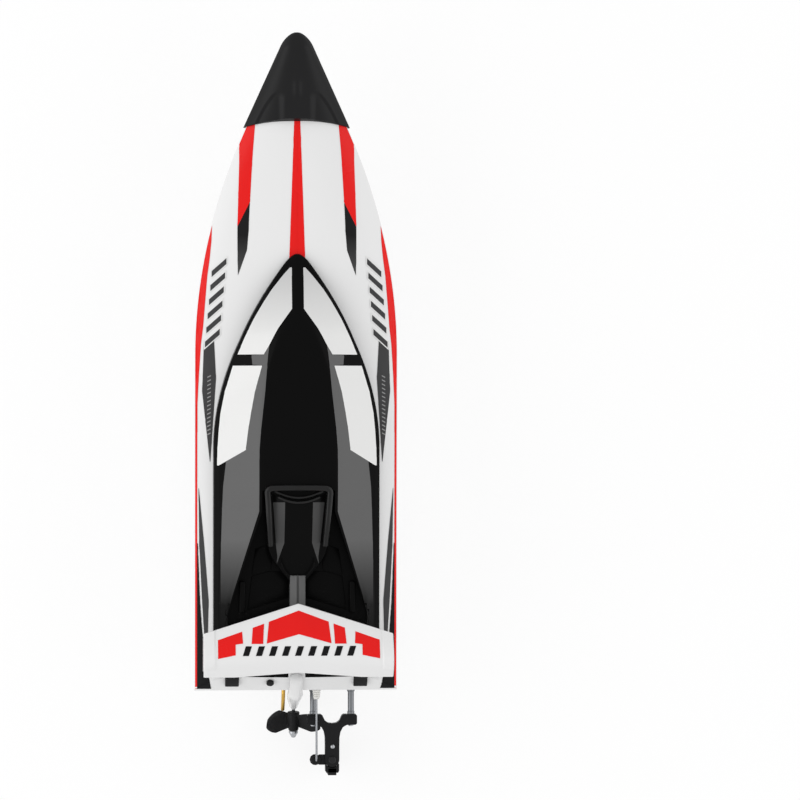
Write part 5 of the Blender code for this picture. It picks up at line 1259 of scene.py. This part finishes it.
def bladeRing(radius, spin):
    p = propeller
    share = radius / p["radius"]
    chord = p["chord"] * math.sqrt(max(p["chordLeast"], 1 - (2 * share - p["chordLean"]) ** 2))
    chord = min(chord, p["rootChord"] + p["chordGrow"] * (radius - p["root"]))
    turn = math.radians(p["pitch"] - p["pitchFall"] * share)
    spoke, side = spin @ shaftUp, spin @ shaftUp.cross(shaftWay)
    run = side * math.cos(turn) + shaftWay * math.sin(turn)
    face = run.cross(spoke).normalized()
    rake = shaftWay * (-p["rake"] * share**2)
    thick = p["thick"] * (p["rootThick"] - p["thickFall"] * share) * 0.5
    ring = []
    for k in range(p["points"]):
        a = 2 * math.pi * k / p["points"]
        cup = p["cup"] * share * math.cos(a) ** 2
        ring.append(onShaft(drive["propStation"]) + spoke * radius + rake + run * chord * 0.5 * math.cos(a)
                    + face * (thick * math.sin(a) - cup + p["lean"] * share))
    return ring


def makePropeller():
    p = propeller
    middle = p["hubLength"] / 2
    front, aft = drive["propStation"] + middle, drive["propStation"] - middle
    profile = [(aft + s, r) for s, r in p["hubAft"]] + [(front - s, p["hub"] - r) for s, r in p["hubFront"]]
    hub = onLine("prop_hub", profile, 36)
    for i in range(p["blades"]):
        spin = Matrix.Rotation(math.radians(p["turn"]) + 2 * math.pi * i / p["blades"], 3, shaftWay)
        radii = [p["root"] + (p["radius"] - p["root"]) * j / p["rings"] for j in range(p["rings"] + 1)]
        boolean(hub, skin("blade", [bladeRing(radius, spin) for radius in radii]), "UNION")
    dress(smooth(hub, 40), "drive", "nylon", "black_fitting", "propeller")
    nut = onLine("prop_nut", [(aft - p["nutGap"] + s, r) for s, r in p["nut"]], 32)
    dress(smooth(nut), "drive", "screw", "motor_steel", "propeller_nut")


# a leaf-shaped fin: height, front on the transom, tail and half width, mm
strut = dict(
    rows=[(0.0, -3.3, -12.6, 1.6), (0.8, -2.6, -13.2, 2.3), (5, -1.2, -13.4, 2.5), (8, -0.6, -13.4, 2.6),
          (11.5, -0.5, -13.4, 3.2), (15, -0.5, -13.4, 4.0), (18.6, -0.5, -13.4, 4.3), (22, -0.5, -13.0, 4.2),
          (25, -0.5, -12.0, 4.1), (30, -0.5, -10.4, 4.4), (36, -0.5, -8.6, 4.9), (42, -0.5, -6.4, 5.1),
          (46.2, -0.5, -4.6, 4.8), (48.6, 1.9, -2.4, 4.4), (51.2, 4.5, 0.2, 4.3), (54, 7.3, 3.0, 4.3),
          (56.0, 9.3, 5.4, 4.2), (56.8, 10.0, 7.0, 3.4)],
    points=24, flat=0.6, tailShare=0.45, socket=[(-0.0012, 0.00245), (0.02, 0.00245)],
    bore=[(-0.03, 0.0013), (0.02, 0.0013)],
)


def makeStrut():
    w = strut
    rings = []
    for z, front, tail, half in w["rows"]:
        ring = []
        for k in range(w["points"]):
            a = 2 * math.pi * k / w["points"]
            forward = (1 + math.cos(a)) / 2
            full = math.copysign(abs(math.sin(a)) ** w["flat"], math.sin(a))
            wide = half * full * (w["tailShare"] + (1 - w["tailShare"]) * forward ** 0.5)
            ring.append(mm(wide, tail + (front - tail) * forward, z))
        rings.append(ring)
    fin = skin("strut_fin", rings)
    boolean(fin, onLine("socket", w["socket"], 24))
    boolean(fin, onLine("bore", w["bore"], 20))
    dress(smooth(fin, 50), "hull", "shell", "white_shell", "shaft_strut")


makePropeller()
makeStrut()
print("propeller and strut")


# cooling water

water = dict(pickup=[(-6.2, 6, 25.0), (-6.2, 0, 25.0), (-6.2, -4, 24.2), (-6.2, -13.5, 16.0)], radius=0.0011,
             nippleFoot=[(0, 0.0014), (0.0002, 0.0018)],
             nippleEnd=[(0.0026, 0.0018), (0.0024, 0.0016), (0.0012, 0.0016), (0.001, 0.0018), (0.0002, 0.0018),
                        (0, 0.0015)])      # back from its end


def makeWater():
    w = water
    bend = routed([mm(*p) for p in w["pickup"]], 8)
    dress(tube("pickup_tube", bend, w["radius"], 5), "hull", "brass", "brass", "water_pickup")
    for node in ("inlet_hose", "outlet_hose"):
        kept(node, "silicone", "hose", 0.0, 60)
    low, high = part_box("water_outlet")
    y, z = [(low[i] + high[i]) / 2 for i in (1, 2)]
    run = high[0] - low[0]
    profile = w["nippleFoot"] + [(run - back, r) for back, r in w["nippleEnd"]]
    nipple = turned("outlet_nipple", (high[0], y, z), (low[0], y, z), profile, 32)
    dress(smooth(nipple), "hull", "brass", "brass", "water_outlet")


makeWater()
print("cooling water")


# steering gear at the stern and the servo inside

pinX, pinStation = 21.55, -41.1
postGear = dict(x=dict(left=10.6, right=32.5), z=36.2, front=-0.3, aft=-14.4, screwStation=-20.75,
                profile=[(0, 0.0022), (0.0012, 0.0022), (0.0014, 0.0018), (0.0126, 0.0018), (0.0128, 0.0021),
                         (0.0141, 0.0021)])
yokeShape = dict(
    half=[(0, -20.0), (2.4, -19.7), (4.2, -18.4), (5.6, -15.4), (6.6, -14.7), (13.6, -14.7), (14.4, -15.5),
          (14.4, -20.0), (13.6, -20.8), (8.4, -20.9), (6.2, -22.2), (4.8, -24.8), (4.2, -28.0), (4.1, -33.0)],
    round=4.1, slotHalf=9, slotFront=-32.6, slotZ=(34.9, 37.5), screwX=0.2, screwStation=-33.4,
    pinZ=(33, 41), pin=[(0, 0.0012), (0.0002, 0.0013), (0.0064, 0.0013), (0.0065, 0.0022), (0.0070, 0.0022),
                        (0.0074, 0.0017)],
)
rudderHead = dict(armX=(8.0, 1), armHalf=3.0, armZ=(35.15, 37.25), heelRadius=4.65, heelTurn=60,
                  heelEnd=[(4.0, -47.6), (3.4, -48.6), (-3.4, -48.6), (-4.0, -47.6)], keeperX=9.34,
                  keeperZ=37.45,
                  keeper=[(0, 0.0026), (0.0002, 0.0029), (0.0005, 0.0029), (0.0008, 0.0025)])
bootShape = dict(folds=4, first=0.0025, pitch=0.0012, ridgeAt=0.0004, valleyAt=0.0010, valley=0.0020,
                 taper=0.00014, end=(0.0052, 0.0017), bore=0.0009, past=0.01)
servoTrim = dict(seams=(-0.0075, 0.0048), seamWide=0.0005, seamIn=0.0054, seamOut=0.00005, strapX=-5.8,
                 strapStations=(20.0, 50.0), hornStation=0.0395, hornZ=0.0336, hornIn=0.0004)


def makeRudderGear():
    g, y, h = postGear, yokeShape, rudderHead
    for side, x in g["x"].items():
        post = turned("post_" + side, mm(x, g["front"], g["z"]), mm(x, g["aft"], g["z"]), g["profile"], 32)
        dress(smooth(post), "hull", "post", "motor_steel", "rudder_post_" + side)
    low, high = [1000 * v[2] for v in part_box("rudder_bracket")]
    quarter = [math.radians(a) for a in range(0, 90, 15)]
    half = y["half"] + [(y["round"] * math.cos(a), pinStation - y["round"] * math.sin(a)) for a in quarter]
    outline = half + [(0, pinStation - y["round"])] + [(-x, s) for x, s in reversed(half[1:])]
    yoke = slab("rudder_yoke", [(pinX + x, s) for x, s in outline], low, high)
    wide = y["slotHalf"]
    boolean(yoke, block("slot", mm(pinX - wide, pinStation - wide, y["slotZ"][0]),
                        mm(pinX + wide, y["slotFront"], y["slotZ"][1]), 0.00005, 1))
    bevelled(yoke, 0.0006, 3, 40)
    dress(smooth(yoke, 30), "hull", "nylon", "black_fitting", "rudder_bracket")
    screwsAt("bracket_screws", [mm(pinX + y["screwX"], y["screwStation"], high)], "hull", scale=0.75)
    screwsAt("post_screws", [mm(x, g["screwStation"], g["z"]) for x in g["x"].values()], "hull", (0, -1, 0))
    pin = turned("pivot_pin", *[mm(pinX, pinStation, z) for z in y["pinZ"]], y["pin"], 32)
    dress(smooth(pin), "hull", "oxide", "motor_steel", "rudder_pin")
    kept("rudder", "nylon", "black_fitting", 0.0005, 30, "rudder")
    arm = block("arm", mm(pinX - h["armX"][0], pinStation - h["armHalf"], h["armZ"][0]),
                mm(pinX - h["armX"][1], pinStation + h["armHalf"], h["armZ"][1]), 0.0006, 3)
    reach = [math.radians(a) for a in range(-h["heelTurn"], h["heelTurn"] + 1, 10)]
    heelLine = [(h["heelRadius"] * math.sin(a), pinStation - h["heelRadius"] * math.cos(a)) for a in reach]
    heelLine += h["heelEnd"]
    heel = slab("heel", [(pinX + x, s) for x, s in heelLine], low, high)
    bevelled(heel, 0.0004, 2, 40)
    smooth(heel)
    dress(joined([arm, heel], "rudder_head"), "rudder", "nylon", "black_fitting")
    end = mm(pinX - h["keeperX"], pinStation, h["keeperZ"])
    keeper = turned("rod_keeper", end, end + Vector((0, 0, 1)), h["keeper"], 32)
    dress(smooth(keeper), "pushrod", "nylon", "black_fitting")


def makeServoGear():
    b, t = bootShape, servoTrim
    kept("pushrod", "steel", "motor_steel", 0.0, 60, "pushrod")
    low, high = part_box("pushrod_boot")
    x, z = (low[0] + high[0]) / 2, (low[2] + high[2]) / 2
    folds = [(0, b["first"])]
    for i in range(b["folds"]):
        folds += [(b["ridgeAt"] + b["pitch"] * i, b["first"] - b["taper"] * i),
                  (b["valleyAt"] + b["pitch"] * i, b["valley"] - b["taper"] * i)]
    boot = turned("rod_boot", (x, high[1], z), (x, low[1], z), folds + [b["end"]], 32)
    boolean(boot, bar("bore", (x, high[1] + b["past"], z), (x, low[1] - b["past"], z), b["bore"], 0.0001, 20))
    dress(smooth(boot, 60), "hull", "fitting", "white_fitting", "pushrod_boot")
    kept("drain_plug", "nylon", "black_fitting", 0.0004)
    kept("servo_case", "servo", "black_fitting", 0.0005)
    low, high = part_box("servo_case")
    seams = []
    for x in t["seams"]:
        seams.append(block("seam", (x, low[1] + t["seamIn"], low[2] - t["seamOut"]),
                           (x + t["seamWide"], high[1] - t["seamIn"], high[2] + t["seamOut"]), 0.0001, 1))
    dress(joined(seams, "servo_seams"), "hull", "nylon", "black_fitting")
    kept("servo_cradle", "fitting", "white_fitting", 0.0004)
    kept("servo_strap", "fitting", "white_fitting", 0.0005)
    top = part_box("servo_strap")[1][2] * 1000
    screwsAt("strap_screws", [mm(t["strapX"], s, top) for s in t["strapStations"]], "hull", scale=1.1)
    kept("servo_horn", "fitting", "white_fitting", 0.0003, 30, "horn")
    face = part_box("servo_horn")[1][0] - t["hornIn"]
    screwsAt("horn_screw", [at(face, t["hornStation"], t["hornZ"])], "horn", (1, 0, 0))


makeRudderGear()
makeServoGear()
print("steering")


# battery, leads and controller

controller = dict(finCount=9, finFrom=176, finPitch=4.2, finHalf=0.5, finX=(-44.5, -36.5), finZ=(42.6, 46.0),
                  leads=(187, 198), leadClear=3, edge=((-27.2, 176, 30.2), (-26.2, 193, 31.6)))
servoWires = dict(
    route=[(-11, 46.0, 33.6), (-11, 50, 33.6), (-4, 58, 40), (12, 57, 42), (30, 49, 42), (43, 54, 43),
           (46.5, 80, 43.2), (46.5, 130, 44), (44, 175, 44), (30, 196, 37), (8, 205, 33), (-12, 204, 31),
           (-22.7, 197, 31), (-26.7, 197, 31)],
    looks=(("orangeLead", "orange_lead"), ("redLead", "red_lead"), ("brownLead", "black_lead")),
    twist=0.014, out=0.0005, radius=0.00046,
)
floorBoss = dict(places=((27, 87, 20.4), (27, 67, 20.4)),
                 profile=[(0, 0.0034), (0.0030, 0.0030), (0.0034, 0.0026), (0.0034, 0.0012), (0.0012, 0.0010)])


def makePower():
    kept("battery_pack", "wrap", "battery_wrap", 0.0016, 40)
    kept("battery_tray", "fitting", "white_fitting", 0.0003)
    kept("battery_clip", "fitting", "white_fitting", 0.0004, 30, "battery_clip")
    kept("bow_shelf", "inner", "white_fitting", 0.0003)
    kept("esc_box", "board", "board", 0.001)
    c = controller
    fins = []
    for i in range(c["finCount"]):
        s = c["finFrom"] + c["finPitch"] * i
        if any(abs(s - lead) < c["leadClear"] for lead in c["leads"]):      # leads come out here
            continue
        fins.append(block("fin", mm(c["finX"][0], s - c["finHalf"], c["finZ"][0]),
                          mm(c["finX"][1], s + c["finHalf"], c["finZ"][1]), 0.0002))
    dress(joined(fins, "controller_fins"), "hull", "can", "motor_steel")
    dress(block("board_edge", *[mm(*p) for p in c["edge"]], 0.0002), "hull", "green", "board")
    kept("water_sensor", "nylon", "black_fitting", 0.0003)
    kept("charge_plug", "redPlug", "red_plug", 0.0006)
    for lead in ("battery", "motor", "plug"):
        kept(lead + "_lead_red", "redLead", "red_lead", 0.0, 60)
        kept(lead + "_lead_black", "blackLead", "black_lead", 0.0, 60)


def makeServoWires():
    w = servoWires
    core = routed([mm(*p) for p in w["route"]], 24)
    gone = [0.0]
    for before, here in zip(core, core[1:]):
        gone.append(gone[-1] + (here - before).length)
    for k, (colour, slot) in enumerate(w["looks"]):
        wire = []
        for i, point in enumerate(core):
            ahead = (core[min(i + 1, len(core) - 1)] - core[max(i - 1, 0)]).normalized()
            beside = ahead.cross(Vector((0, 0, 1))).normalized()
            a = 2 * math.pi * (k / len(w["looks"]) + gone[i] / w["twist"])
            wire.append(point + (beside * math.cos(a) + ahead.cross(beside) * math.sin(a)) * w["out"])
        piece = tube("servo_wire_" + slot, wire, w["radius"], 2)
        dress(piece, "hull", colour, slot, *(["servo_lead"] if k == 0 else []))


def makeBosses():
    bosses = []
    for x, s, z in floorBoss["places"]:
        bosses.append(turned("boss", mm(x, s, z), mm(x, s, z + 4), floorBoss["profile"], 28))
    piece = joined(bosses, "floor_bosses")
    dress(smooth(piece), "hull", "fitting", "white_fitting")


makePower()
makeServoWires()
makeBosses()
bpy.data.objects.remove(masterScrew)
print("power")
